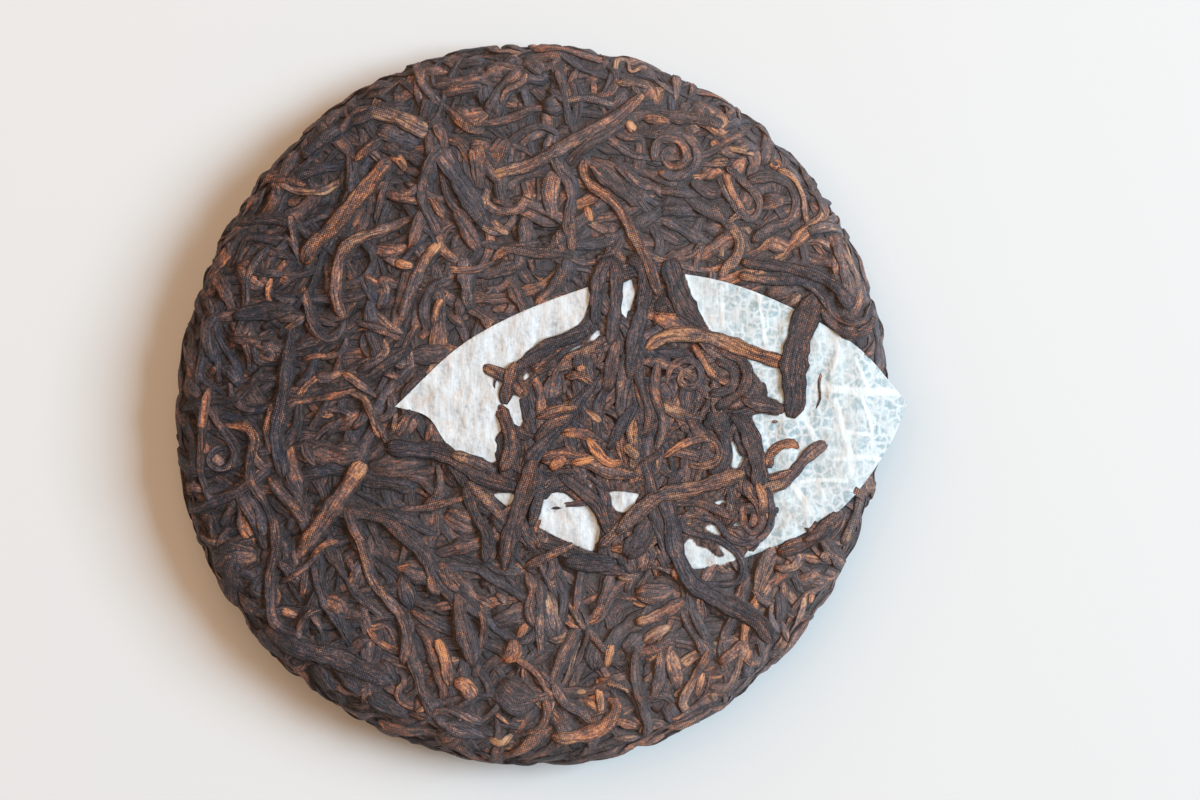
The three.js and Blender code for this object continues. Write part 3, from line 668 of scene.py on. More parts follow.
# the strands that hold the ticket down, in the same form
HOLDING_STRANDS = [
    # over the mat's middle, printed flat
    (LONG, 2.4, 0.52, 1.6, -8.2, 5, -7.8, 8.6, -8.6, 12, -10, 16, -10.6),
    (LONG, 1.5, 0.5, 16.4, 6.6, 20.6, 6, 24.6, 4, 27.4, 1),
    (SHORT, 1.8, 0.45, 19.6, 0.4, 22.6, -1.4, 25.4, -2),
    (SHORT, 1.6, 0.42, 4.6, -4.2, 8, -4.4, 11, -5.6),
    (LONG, 2.2, 0.12, -0.6, -9, 4, -3.4, 7.4, 0.6, 10, 3.6),
    (LONG, 2.0, 0.25, 0.6, -5.4, 3.6, -2.6, 6.4, -1.6),
    (LONG, 2.2, 0.32, 13.4, -2, 14, 3, 15, 9),
    (LONG, 2.0, 0.3, 11.5, 2, 12.5, 7, 13.2, 11),
    (LONG, 1.8, 0.12, 11.8, -6.8, 13.6, -3.4, 16, 0),
    (SHORT, 1.8, 0.64, 1, -2, 4, -0.9, 7, -0.3),
    (SHORT, 1.2, 0.56, 8.4, -0.8, 10.6, -2.6),
    (SHORT, 1.9, 0.76, 3, -9.6, 5.2, -8),
    (LONG, 1.6, 0.76, 8.6, -5.2, 10.4, -7.6, 12, -8.9, 14, -8.6),
    (SHORT, 1.8, 0.76, 14.2, -6.2, 16.2, -8),
    (SHORT, 1.2, 0.7, 6.2, -8.9, 9.6, -8.2),
    (LONG, 0.9, 0.52, 3.3, 2.2, 3.8, 5, 6, 7.4, 8.4, 8.6),
    (SHORT, 1.5, 0.5, 9.4, 8, 10, 6.4, 11, 8),
    (SHORT, 1.3, 0.72, 5.3, 4.2, 7.5, 4.4, 9.3, 3.2),
    (CRUMB, 1.1, 1.0, 7, 5.4, 8.2, 5.5),
    (LONG, 1.4, 0.3, 16.6, 8.4, 16.4, 4, 18, -1, 17.4, -5),
    (LONG, 1.6, 0.4, 19.4, 7, 18.8, 2, 20.2, -3, 19, -7),
    (LEAF, 3.4, 0.25, 14.4, -23, 16.6, -20.4, 18, -17.6),
    (LEAF, 3.0, 0.08, 5, -23.6, 9, -24, 12.6, -24),
    # left and top
    (LONG, 2.6, 0.2, -22, -6.5, -17, -6.8, -14, -7, -11, -8.5, -7, -11, -2.2, -12.5),
    (SHORT, 1.8, 0.45, -12, -7.5, -8.5, -8.5, -5.3, -10.2),
    (SHORT, 1.6, 0.6, -9.8, -11.8, -7, -14, -4, -17.5),
    (LONG, 1.8, 0.15, -10, -12.5, -8.2, -17, -6.5, -20, -7, -24),
    (STALK, 2.2, 0.15, -7.4, 5.8, -6, 5.2, -4.4, 4.6, -2.4, 3.4),
    (LONG, 2.2, 0.15, -3.3, 4.5, 0, 7, 3, 9, 6, 10.2, 8.8, 12, 10, 15.5),
    (STALK, 2.1, 0.18, -2.2, 6.4, -3, 4.6, -3.6, 2.4, -4.2, -0.4),
    (LONG, 2.2, 0.46, -4.7, -0.4, -3.8, -2.4, -3.1, -4.8, -3.1, -7.5, -4.3, -10),
    (STALK, 1.5, 0.2, 1.8, -9, 1.2, -14, 0, -18.5),
    (LONG, 2.7, 0.35, 0.4, -8.5, -0.8, -13, -2.1, -17, -3.3, -21, -4, -25),
    (STALK, 1.0, 0.3, 2.9, -15.6, 5.5, -15.2, 9, -14.8),
    (STALK, 1.5, 0.5, -1, -24.8, 3, -22.7, 6.4, -21.1),
    (LONG, 2.0, 0.25, 4.4, -10.6, 7.6, -12.9, 10, -15, 11.3, -17.6, 12.2, -20),
    (LONG, 1.7, 0.54, 17.2, -14.8, 15, -17.2, 12.8, -19.4, 10.4, -21.6),
    (LONG, 2, 0.25, 9.8, 12, 10.1, 18, 11.4, 21.6, 12.9, 21.2, 13, 18, 12.8, 14, 12, 9),
    (LONG, 2.2, 0.2, 14.6, 22, 16.4, 21.5, 17.4, 18.5, 16.8, 14, 15.7, 10, 15, 4),
    (LEAF, 3.0, 0.3, 18.6, 13.4, 21, 12.6, 24, 11),
    (LEAF, 3.2, 0.12, 21, 22, 21.8, 18.4, 23.4, 14.8, 26, 11.8),
    # right
    (CURL, 1.2, 0.4, 24.6, 4.6, 23.4, 5.2, 22.6, 3.8, 23.8, 2.6, 25.4, 3.2, 25.8, 5.2, 24, 6.8, 21.4, 5.8,
     20.6, 3),
    (STALK, 1.2, 0.6, 24.6, 9, 26.2, 6.6, 27.8, 4.4, 30.6, 3),
    (LONG, 1.8, 0.15, 28.6, 8.6, 31.6, 7, 33, 4.8, 32.5, 2.5, 31, 1, 28, -0.5),
    (LONG, 1.5, 0.25, 28, 6.6, 30.4, 5.6, 31, 3.6, 29.8, 2.2, 27, 1.6),
    (SHORT, 1.6, 0.45, 30, -0.6, 33, 1, 34.4, 3.4),
    (LONG, 2.8, 0.2, 30.4, -1.6, 32.6, -3, 34, -6.4, 34.9, -9.6, 35, -12.6),
    (CURL, 1.4, 0.2, 27.6, -3, 29.4, -5, 30, -7.6, 29.2, -9.4, 27.2, -10.4),
    (CURL, 1.2, 0.58, 20, -8, 23, -6, 26.5, -5.1, 28.4, -6, 28.6, -8, 27, -9.2, 24, -9.3),
    (LONG, 2.0, 0.5, 35.2, -13, 37.6, -12.5, 39.9, -10.9, 42, -8.4, 44, -6.7, 45.6, -6),
    (SHORT, 1.3, 0.5, 35.5, -11.3, 38, -10.9, 40, -10),
    (CURL, 1.7, 0.56, 36.3, -9.7, 36.7, -7.6, 38.3, -6.2, 40, -6, 41.1, -6.8),
    (STALK, 1.4, 0.3, 20, -14.8, 25, -14.9, 28.5, -16, 30.5, -17.3),
    (CURL, 1.1, 0.2, 26.5, -17, 24, -16.8, 23, -18, 24.5, -19.6, 28, -20.4, 31, -22.2, 32.4, -24.5, 31.8,
     -27, 28.5, -27.5, 25, -27),
    (CURL, 1.1, 0.3, 25, -17.2, 28, -17.6, 30, -20, 32, -21.1, 34.5, -21, 36.5, -19.3, 37, -16.5, 36.5,
     -13.5, 36, -12.5),
    (CURL, 1.3, 0.42, 32.4, -15.5, 32.6, -18, 34, -19.6, 35.5, -18, 34.8, -15.5, 33.2, -13.4, 32.8, -11.6),
    (LONG, 1.4, 0.5, 34.6, -12, 35.6, -14.6, 35.2, -17),
    (STALK, 0.9, 0.4, 24.8, -20.5, 27, -21.6, 28.6, -23, 30.4, -23.4),
    (LONG, 1.4, 0.3, 18.2, -15, 19, -18, 20, -21, 21, -24),
    (LONG, 2.6, 0.2, 19.8, -13, 20.9, -16, 21.6, -19, 21.8, -21.4, 23, -24.5, 25, -27.5, 28.7, -29.9, 32.6,
     -31.8, 35.4, -34, 36.8, -36.6),
    (LONG, 2.4, 0.58, 13, -19.6, 16.4, -16.2, 20, -13.6, 25, -12.8, 29, -11.5, 32.6, -10.4),
    (STALK, 0.9, 0.4, 36.5, -2.5, 39.4, -2.2),
    (SHORT, 2.3, 0.4, 32, 1, 33.6, 0.5, 36, -0.2, 39.4, -0.9),
    (LONG, 2.3, 0.78, 17.4, 8.4, 20.2, 10.2, 23.5, 10.7, 27, 10.2, 31, 8.9, 35, 7.4, 38.5, 6.4, 41, 5.6),
    (LONG, 4.1, 0.24, 43.4, 17, 42, 14, 41.1, 11.5, 40.4, 8.6, 40, 6, 40.1, 3, 40.3, 0.6, 39.7, -2),
    (LONG, 1.6, 0.6, 8.2, 37.4, 7.8, 35.6, 9, 33.4, 12, 31.2, 14, 28.6, 16.2, 24.4, 18, 21, 19.4, 16.4),
    (LONG, 1.8, 0.25, 31.8, 21.6, 37, 21, 42, 20, 46, 18, 48.6, 14.6),
    (CURL, 1.4, 0.3, 31.5, 19.6, 36, 18.8, 41, 18.6, 44, 16.6, 46, 14, 48.5, 12.4, 51, 13, 52, 15.5),
    (CURL, 1.3, 0.2, 44, 14.5, 46, 12, 48.5, 10.6, 51, 11.5, 53, 13.5),
    (LEAF, 2.6, 0.3, 38, -22.8, 43, -20.8, 48, -17.2),
    (SHORT, 1.0, 0.5, 42, -21, 44.6, -20, 47, -18.6),
    (STALK, 0.42, 0.1, 44.4, 5.4, 44, 3, 44.3, 1, 43.5, -0.8),
    (STALK, 0.4, 0.1, -5, 4.8, -5.6, 2.6, -5, 0.6),
]

# the outline of the mat of strands over the ticket, and the windows in it where the paper shows
MAT_OUTLINE = [(8.5, 17.7), (9.1, 16.6), (8.1, 13.7), (7.7, 12.1), (5.1, 10.7), (2.7, 9.3), (0.6, 8),
               (-2.2, 5.9), (-3.2, 5), (-4, 3.9), (-4.4, 0.4), (-5.3, -0.1), (-4.3, -5), (-4.2, -6.8),
               (-5.6, -8.9), (-8, -7.9), (-10.5, -6.8), (-12.5, -7), (-14, -9), (-6, -17), (0, -22), (9, -25),
               (25, -27.5), (33, -25), (32.4, -23.2), (33.5, -21.6), (36.5, -19.6), (37.3, -16.8),
               (37, -13.6), (36.3, -11), (35.4, -6.5), (33.4, -1.1), (38, -2), (38, 0.6), (35, 1.6),
               (35.3, 3.2), (34, 5), (32, 6.9), (31, 8), (33, 9), (31, 9.8), (27.4, 11), (25, 15.1),
               (23.4, 19.8), (23, 22), (9, 22)]
WINDOWS = [
    [(-2.6, 1.6), (-1, 0.5), (0, -1), (-1.3, -2.2), (-1.5, -3.3), (-2.2, -3.8), (-2.7, -2), (-4.2, -0.1)],
    [(-0.3, 5.6), (-0.3, 4.3), (-0.7, 3.3), (-1.4, 3.4), (-0.9, 4.7)],
    [(4.2, 7.4), (6.2, 8.6), (8.4, 9.5), (9.8, 10.8), (10.5, 12.4), (10.6, 10.4), (8.4, 9.1), (5.2, 7.4)],
    [(13.7, 19.3), (14.8, 19.6), (15.4, 18.4), (15.7, 16.8), (15.2, 15), (14.1, 12.3), (13.5, 13.4),
     (14, 16)],
    [(30.1, -5), (31.5, -5.7), (32.8, -7), (32.3, -9.5), (30.3, -9.7), (30.8, -8.2), (30.7, -6.6)],
    [(27.2, -4.8), (27.8, -4.4), (28.7, -5.6)],
    [(26.9, -6.7), (27.4, -6.7), (27.5, -7.7), (27, -7.8)],
    [(-3.9, -11.1), (-1.9, -10), (-2.6, -11.1)],
    [(-6.1, -13.6), (-2.2, -13.6), (-3.6, -15.9), (-5, -14.6)],
    [(2.3, -13.7), (3.6, -12.9), (5, -12.7), (6.2, -13.2), (8.5, -15.2), (9.6, -15.8), (9.9, -17.6),
     (10.9, -20.2), (9.5, -21.1), (9.6, -22.7), (5.1, -20.9), (0.8, -18.9), (1.7, -16)],
    [(8.2, -12), (9.7, -12), (9.3, -12.8), (8.8, -12.8)],
    [(11.5, -13.3), (12.7, -13.2), (16.8, -13.5), (15.5, -15.5), (13.9, -16.4), (12.7, -15.8)],
    [(27.4, -14.9), (30, -14.4), (29.5, -15.8), (28.1, -15.6)],
    [(25.7, -18.6), (27.2, -18.3), (28.6, -18.5), (29.4, -20.1), (27.5, -19.4)],
    [(30.2, -18.3), (31.7, -17.2), (32.7, -20.2), (31.5, -19.7)],
    [(27.2, -20.7), (29.7, -21.7), (31.8, -23.6), (30.5, -23.9), (29.6, -22.6)],
    [(24.4, -20), (25, -21.6), (26.5, -21.7), (28, -23.2), (31.7, -23.7), (26.5, -25.4), (24.3, -25.4),
     (23.8, -23.3), (22.8, -21.8)],
]

FACE_SEED = 11
UNDER_SEED = 23
FACE_PATTERN = 72  # half the side of the face's pattern plane
UNDER_PATTERN = 54
PAST_THE_RIM = 2.2  # how far the face's strands run on beneath
PILE_STRANDS = 2500
MIDDLE_STRANDS = 560
UNDER_STRANDS = 850
MIDDLE_TONE = 0.02  # added to the tone of the mat's random strands
MIDDLE_THICKNESS = 0.6  # and the share of their thickness that is left
HOLDING_TONE = 0.05  # added to the tone of the strands that hold the ticket
WELL_COVERED = 0.82  # the least cover where a random strand may lie
LEAST_SHOWING = 24  # cells that a strand must show to be kept

MEAN_REACH = 3.0  # of the blur that heights are measured from
EMBOSS_REACH = 0.5
COVER_REACH = 0.45
MOST_EMBOSS = 0.6
PAPER_BED = 0.3  # how far under the paper its strands begin to settle


# ---------------------------------------------------------------- the ticket's outline


def ticket_edges(count):
    """The ticket's lower and upper edges, as smooth lines with the same number of even steps."""
    edges = []
    for between in (TICKET_LOWER, TICKET_UPPER):
        fine = through([TICKET_TIP, *between, TICKET_END], 0.05)
        travelled = np.linspace(0, len(fine) - 1, count)
        steps = np.arange(len(fine))
        edges.append(np.stack([np.interp(travelled, steps, fine[:, k]) for k in (0, 1)], 1))
    return edges


LOWER_EDGE, UPPER_EDGE = ticket_edges(240)


def inside_ticket(x, y):
    """How far inside the ticket's outline a place lies, up or down; negative outside."""
    low = np.interp(x, LOWER_EDGE[:, 0], LOWER_EDGE[:, 1])
    high = np.interp(x, UPPER_EDGE[:, 0], UPPER_EDGE[:, 1])
    return np.minimum(np.minimum(y - low, high - y), np.minimum(x - TICKET_TIP[0], TICKET_END[0] - x))


# ---------------------------------------------------------------- pressing

LID = 0.55  # height above the mean at which the lid stops a strand, where it presses least
LID_HARD = 0.45  # how much lower it stops one where it presses most
LID_OVER = 0.13  # how much higher it stops those over the ticket
LID_SOFT = 0.12
PATCHES = field(31, 24)


class PressedPile:
    """The pile after pressing: heights are measured from their own smooth mean, and a soft lid cuts them."""

    def __init__(self, pile, mean, hardness, ticket=False):
        self.pile, self.mean, self.hardness, self.ticket = pile, mean, hardness, ticket

    def lid(self, x, y, over=False):
        """How high above the mean the press lets a strand stand."""
        return LID - LID_HARD * self.hardness(x, y) + (LID_OVER if over else 0)

    def lift(self, x, y, z, over=False):
        """Where a point of a strand ends up above the cake's form."""
        height = z - self.pile.read(self.mean, x, y)
        hard = self.hardness(x, y)
        height = np.where(height < 0, height / (1 - (0.9 + 1.6 * hard) * height), height)
        lid = self.lid(x, y, over)
        height = height - 0.8 * LID_SOFT * np.logaddexp(0, (height - lid) / LID_SOFT)
        if self.ticket and not over:
            height = height - PAPER_SINK * smooth(inside_ticket(x, y), -0.1, 0.5)
        return height


def face_hardness(x, y):
    """How hard the face was pressed: most in the middle and in patches, least round the rim."""
    middle = 1 - smooth(np.hypot(x - 14, y - 4), 12, 50)
    return np.clip(0.25 + 0.6 * middle + 0.25 * PATCHES(x, y), 0, 1)


def under_hardness(x, y):
    """The underside was pressed hard all over."""
    return np.ones(np.shape(x))


# ---------------------------------------------------------------- meshes

FACE_SPACING = 0.78  # between the rings of a strand's mesh
UNDER_SPACING = 1.1
FINE_SPACING = 0.6  # for curls and crumbs
FACE_MOST = 150  # strands in one piece
UNDER_MOST = 220
ATLAS_GAP = 0.5  # round each strand's place in the layout for baking
ATLAS_SLACK = 1.06
OVER_PRESS = 0.8  # the least print of the weave on strands over the ticket
OVER_LESS_SHEEN = 0.65  # the share of the painted sheen that they lack
SHEEN_FROM = -50  # a painted pale sheen, standing for the window's light on the right, grows from this x
SHEEN_TO = 28  # to this one


def make_piece(name, corners, faces, grain=None, tints=None, atlas=None):
    """A mesh object from whole arrays: faces is a list of arrays, one for each number of corners; grain and
    atlas are UV maps with one row for each face corner, and tints are attributes with one value a point."""
    mesh = bpy.data.meshes.new(name)
    loops = np.concatenate([f.ravel() for f in faces])
    totals = np.concatenate([np.full(len(f), f.shape[1]) for f in faces])
    starts = np.concatenate([[0], np.cumsum(totals)[:-1]])
    mesh.vertices.add(len(corners))
    mesh.vertices.foreach_set("co", corners.astype(np.float32).ravel())
    mesh.loops.add(len(loops))
    mesh.loops.foreach_set("vertex_index", loops.astype(np.int32))
    mesh.polygons.add(len(totals))
    mesh.polygons.foreach_set("loop_start", starts.astype(np.int32))
    mesh.polygons.foreach_set("loop_total", totals.astype(np.int32))
    mesh.polygons.foreach_set("use_smooth", np.ones(len(totals), bool))
    for title, rows in (("grain", grain), ("OFBake", atlas)):
        if rows is not None:
            layer = mesh.uv_layers.new(name=title)
            layer.data.foreach_set("uv", rows.astype(np.float32).ravel())
    for title, values in (tints or {}).items():
        attribute = mesh.attributes.new(title, "FLOAT", "POINT")
        attribute.data.foreach_set("value", values.astype(np.float32).ravel())
    mesh.update(calc_edges=True)
    piece = bpy.data.objects.new(name, mesh)
    bpy.context.collection.objects.link(piece)
    return piece


def ring_angles():
    """Angles round a strand's section, closer together over its top than beneath."""
    top = np.linspace(0, TAU / 2, RING_UP, endpoint=False)
    beneath = np.linspace(TAU / 2, TAU, RING_DOWN, endpoint=False)
    return np.concatenate([top, beneath])


RING = ring_angles()


def tube_faces(rings, around, first=0):
    """The four-cornered faces of a tube of rings, and the ring and the turn that each begins at."""
    ring, turn = np.meshgrid(np.arange(rings - 1), np.arange(around), indexing="ij")
    base = first + ring * around
    after = base + (turn + 1) % around
    quads = np.stack([base + turn, base + turn + around, after + around, after], -1)
    return ring, turn, quads.reshape(-1, 4)


def strand_surface(strand, pressed, to_place, spacing):
    """A closed tube along a strand. Its section is a flattened oval with folds that wind slowly along it:
    across = half width * cos, up = half thickness * sin, both swelled by sines of the angle."""
    spacing = FINE_SPACING if strand.kind in (CURL, CRUMB) else spacing
    rings = max(LEAST_STEPS, int(strand.length / spacing))
    at = functools.partial(strand.at, np.linspace(0, len(strand.s) - 1, rings))
    s, half, thick = at(strand.s), at(strand.half), at(strand.thick)
    wind = strand.twist * s
    fold = 1 + 0.13 * np.cos(3 * RING + wind + strand.phase[0])
    fold = fold + 0.08 * np.cos(5 * RING - wind + strand.phase[1])
    fold = fold - strand.groove * np.exp(-((RING - strand.crease) / 0.34) ** 2)
    across = half * np.sign(np.cos(RING)) * np.abs(np.cos(RING)) ** 0.85
    up = 0.5 * thick * np.sign(np.sin(RING)) * np.abs(np.sin(RING)) ** 0.7 * fold
    x = at(strand.line[:, 0]) + at(strand.aside[:, 0]) * across
    y = at(strand.line[:, 1]) + at(strand.aside[:, 1]) * across
    z = at(strand.level) + at(strand.tilt) * across + up
    lift = pressed.lift(x, y, z, strand.over)
    tone = np.repeat(at(strand.tone + 0.35 * strand.tip), len(RING))
    lid = pressed.lid(x, y, strand.over)
    return to_place(x, y, lift), lift, tone, smooth(lift, lid - LID_SOFT, lid)


def pack_cells(lengths, heights):
    """Places oblong cells on shelves in a square, tallest first. Gives each cell's corner and the scale."""
    side = math.sqrt((lengths * heights).sum()) * ATLAS_SLACK
    order = np.lexsort((lengths, heights))[::-1]
    corner = np.zeros((len(lengths), 2))
    x = y = shelf = 0.0
    for k in order:
        if x + lengths[k] > side:
            x, y, shelf = 0.0, y + shelf, 0.0
        corner[k] = x, y
        shelf = max(shelf, heights[k])
        x += lengths[k]
    return corner, 1 / max(side, y + shelf)


def strand_piece(name, strands, pressed, to_place, spacing):
    """All strands of one kind as one mesh, with their grain and an even layout for baking."""
    around = len(RING)
    lengths = np.array([t.length for t in strands]) + ATLAS_GAP
    girths = np.array([2.6 * t.half.max() + 1.2 * t.thick.max() for t in strands]) + ATLAS_GAP
    corner, scale = pack_cells(lengths, girths)
    tints = {"tone": [], "lift": [], "edge": [], "dust": [], "press": []}
    points, quads, caps, grain, atlas = [], [], [], [], []
    cap_grain, cap_atlas, first = [], [], 0
    for strand, spot, girth in zip(strands, corner + 0.5 * ATLAS_GAP, girths - ATLAS_GAP):
        surface, lift, tone, press = strand_surface(strand, pressed, to_place, spacing)
        rings = len(surface)
        points.append(surface.reshape(-1, 3))
        tints["tone"].append(np.clip(tone, 0, 1))
        tints["lift"].append(lift.ravel())
        tints["press"].append(np.maximum(press, OVER_PRESS * strand.over).ravel())
        # edge: how far round to a strand's side, where the finish paints shade
        tints["edge"].append(np.tile(np.abs(np.cos(RING)), rings))
        # painted sheen: lighter and paler towards the window on the right, standing for its light
        dust = smooth(surface[..., 0] / MM, SHEEN_FROM, SHEEN_TO) * (1 - OVER_LESS_SHEEN * strand.over)
        tints["dust"].append(dust.ravel())
        ring, turn, sides = tube_faces(rings, around, first)
        quads.append(sides)
        u = np.stack([ring, ring + 1, ring + 1, ring], -1) * (strand.length / (rings - 1))
        v = np.stack([turn, turn, turn + 1, turn + 1], -1) * (girth / around)
        flat = np.stack([u, v], -1).reshape(-1, 2)
        grain.append(flat + strand.grain)
        atlas.append((flat + spot) * scale)
        for end, order in ((0, 1), (rings - 1, -1)):
            caps.append((first + end * around + np.arange(around))[::order])
            middle = np.array([[end * strand.length / (rings - 1), 0.5 * girth]])
            cap_grain.append(np.repeat(middle + strand.grain, around, 0))
            wheel = np.stack([np.cos(RING), np.sin(RING)], 1) * 0.1
            cap_atlas.append((middle + wheel[::order] + spot) * scale)
        first += rings * around
    return make_piece(
        name, np.concatenate(points), [np.concatenate(quads), np.array(caps)],
        grain=np.concatenate(grain + cap_grain), atlas=np.concatenate(atlas + cap_atlas),
        tints={title: np.concatenate(values) for title, values in tints.items()},
    )


# ---------------------------------------------------------------- laying the leaf


def on_face(x, y):
    """The face and sides, and a little of the underside."""
    return np.hypot(x, y) < ROUND_THE_RIM + PAST_THE_RIM


def in_outline(outline_points, x, y):
    """Whether places lie inside a closed outline: a line to the right crosses it an odd number of times."""
    inside = np.zeros(np.shape(x), bool)
    ends = np.roll(outline_points, -1, axis=0)
    for (x0, y0), (x1, y1) in zip(outline_points, ends):
        if y0 != y1:
            inside ^= ((y0 > y) != (y1 > y)) & (x < (x1 - x0) * (y - y0) / (y1 - y0) + x0)
    return inside


def covered(x, y):
    """Where the mat covers the ticket: inside its outline, but not in its windows."""
    inside = in_outline(MAT_OUTLINE, x, y)
    for window in WINDOWS:
        inside &= ~in_outline(window, x, y)
    return inside


def lay_face():
    """Lays the face and sides: random strands, those with places of their own, then the mat over the ticket.
    Gives the pile, its smooth mean, the leaf's unevenness under the ticket, and the mat's cover."""
    draws = np.random.default_rng(FACE_SEED)
    pile = Pile(FACE_PATTERN, ROUND_THE_RIM - 1)
    flow = field(5, 60)
    for _ in range(PILE_STRANDS):
        pile.lay(random_strand(pile, draws, flow, on_face))
    for kind, width, tone, *points in FACE_STRANDS:
        pile.lay(named_strand(kind, width, tone, points, draws))
    mean = pile.blurred(pile.height, MEAN_REACH)
    emboss = np.clip(pile.blurred(pile.height, EMBOSS_REACH) - mean, -MOST_EMBOSS, MOST_EMBOSS)
    within = inside_ticket(pile.x, pile.y) > 0
    paper = mean + PAPER_LEVEL
    pile.height[within] = paper[within] - PAPER_BED
    pile.owner[within] = -1
    cover = pile.blurred(covered(pile.x, pile.y).astype(float), COVER_REACH)

    def well_covered(x, y):
        return pile.read(cover, x, y) > WELL_COVERED

    for _ in range(MIDDLE_STRANDS):
        strand = random_strand(pile, draws, flow, well_covered, choices=6)
        strand.tone = strand.tone + MIDDLE_TONE
        strand.thick = MIDDLE_THICKNESS * strand.thick
        strand.over = True
        if strand.kind != CURL:
            pile.lay(strand)
    for kind, width, tone, *points in HOLDING_STRANDS:
        pile.lay(named_strand(kind, width, tone + HOLDING_TONE, points, draws, over=True))
    return pile, mean, emboss, cover


def under_seat(x, y):
    """The flat underside, short of its rounded edge."""
    return np.hypot(x, y) < SEAT - 0.5


def lay_underside():
    """Lays the underside with random strands. Gives the pile and its smooth mean."""
    draws = np.random.default_rng(UNDER_SEED)
    pile = Pile(UNDER_PATTERN, SEAT)
    flow = field(8, 50)
    for _ in range(UNDER_STRANDS):
        pile.lay(random_strand(pile, draws, flow, under_seat, edge=43))
    return pile, pile.blurred(pile.height, MEAN_REACH)


def showing(pile):
    """The strands that can be seen from above."""
    count = np.bincount(pile.owner[pile.owner >= 0], minlength=len(pile.strands))
    return [strand for strand, cells in zip(pile.strands, count) if cells >= LEAST_SHOWING]


def pieces_by_kind(prefix, strands, pressed, to_place, most, spacing):
    """One piece for each kind of strand, and more where a kind would pass the most strands a piece takes."""
    made = []
    for kind in KINDS:
        chosen = [strand for strand in strands if strand.kind == kind]
        parts = max(1, math.ceil(len(chosen) / most))
        for part in range(parts):
            share = chosen[part::parts]
            if share:
                made.append(strand_piece(f"{prefix}_{kind}_{part + 1}", share, pressed, to_place, spacing))
    return made


# ---------------------------------------------------------------- the core

CORE_DEPTH = 0.14  # below the strands' upper sides
CORE_AROUND = 420
CORE_RINGS = 118
CORE_RINGS_UNDER = 70
CORE_MIDDLE = 0.4  # radius of the first and last ring


def core_piece(face, under):
    """The mass beneath the strands as one closed skin: rings from the middle of the face round the rim to
    the middle of the underside, a little below the strands' upper sides, so that every gap is filled."""
    angle = np.linspace(0, TAU, CORE_AROUND, endpoint=False)
    over = np.linspace(CORE_MIDDLE, ROUND_THE_RIM - 1.2, CORE_RINGS)[:, None]
    x, y = over * np.cos(angle), over * np.sin(angle)
    lift_over = face.lift(x, y, face.pile.read(face.pile.height, x, y)) - CORE_DEPTH
    top = place(x, y, lift_over)
    inward = np.linspace(SEAT - 0.6, CORE_MIDDLE, CORE_RINGS_UNDER)[:, None]
    x, y = -inward * np.cos(angle), inward * np.sin(angle)
    lift_under = under.lift(x, y, under.pile.read(under.pile.height, x, y)) - CORE_DEPTH
    beneath = place_under(x, y, np.minimum(lift_under, 0))
    rings = np.concatenate([top, beneath])
    lift = np.concatenate([lift_over, lift_under])
    sides = tube_faces(len(rings), CORE_AROUND)[-1]
    cap = np.arange(CORE_AROUND)
    caps = np.array([cap, cap[::-1] + (len(rings) - 1) * CORE_AROUND])
    return make_piece("pressed_core", rings.reshape(-1, 3), [sides, caps],
                      tints={"tone": np.full(lift.size, 0.2), "lift": lift.ravel()})


# ---------------------------------------------------------------- the ticket

SHEET_LONG = 250  # points along the ticket
SHEET_WIDE = 125  # and across it
EMBOSSED = 0.3  # share of the leaf's unevenness that shows through the paper
VEIN_HEIGHT = 0.06
MAT_HEIGHT = 0.16  # how much higher the paper lies under the mat


def paper_height(distance):
    """Height of the ticket's upper side: it follows the face, and leaves it straight at the rim."""
    beyond = np.maximum(distance - PAPER_STRAIGHT, 0)
    return np.interp(distance - beyond, ALONG, SECTION_Z) - PAPER_SLOPE * beyond


# width, then the points that a vein runs through
VEINS = [
    (0.7, [(43.4, 2.6), (46, 2.4), (50, 2), (57, 1.8)]),
    (0.5, [(46.3, 0.6), (47.6, -4), (48.4, -7), (48.8, -10.5)]),
    (0.5, [(41.4, -1.4), (43.2, -5.2)]),
    (0.55, [(40, -12.4), (42.8, -16.4)]),
    (0.45, [(48.3, -8), (51, -8), (53.2, -8.4)]),
    (0.32, [(46.4, -8.3), (48.4, -8.3)]),
    (0.28, [(47.8, -4.2), (52, -4.6)]),
    (0.35, [(45.8, 4.6), (46.7, 8), (46.4, 10)]),
    (0.3, [(43.6, -11.8), (45, -14.6)]),
    (0.3, [(41, -11.8), (44, -11.4), (48, -11.7)]),
    (0.32, [(50.3, 1.4), (51.8, -3), (52, -7)]),
    (0.32, [(51.4, 2.4), (49.4, 7)]),
    (0.3, [(23.4, 19.8), (25, 15.2), (27.5, 11)]),
    (0.3, [(29, 18), (29.1, 12)]),
    (0.3, [(34.6, 17), (35.6, 9.5)]),
]

# place and reach of each rust-coloured stain
STAINS = [(-17.6, 0.8, 1.2), (-15.6, 0.8, 0.7), (-7.6, 3.3, 0.5), (-6.2, 1.1, 0.9), (-11, 1, 1.6),
          (-12.6, 7.2, 0.9), (-12.4, -0.8, 0.8), (-12.6, -3.2, 1.3), (2.4, 15, 0.8), (5.6, 13.4, 0.9),
          (5.8, 16.2, 0.7), (8, 13.6, 0.6), (-3.6, 11, 0.7), (4.8, -17, 1.3), (6.4, -14, 0.6),
          (26.8, 13, 0.8), (27.8, 16.8, 0.7), (34.6, 4.6, 0.8), (37, 4, 0.5), (39, -17, 0.6),
          (38.4, -15.4, 0.5), (0.6, 13.6, 0.5), (-18.4, 1.8, 0.6)]


def vein_strength(x, y):
    """1 along the middle of each vein, falling off beside it as a bell curve of the distance."""
    strength = np.zeros(x.shape)
    for width, points in VEINS:
        line = through(points, 0.15)
        away = np.full(x.shape, 1e9)
        for px, py in line:
            away = np.minimum(away, (x - px) ** 2 + (y - py) ** 2)
        strength = np.maximum(strength, np.exp(-away / width ** 2))
    return strength


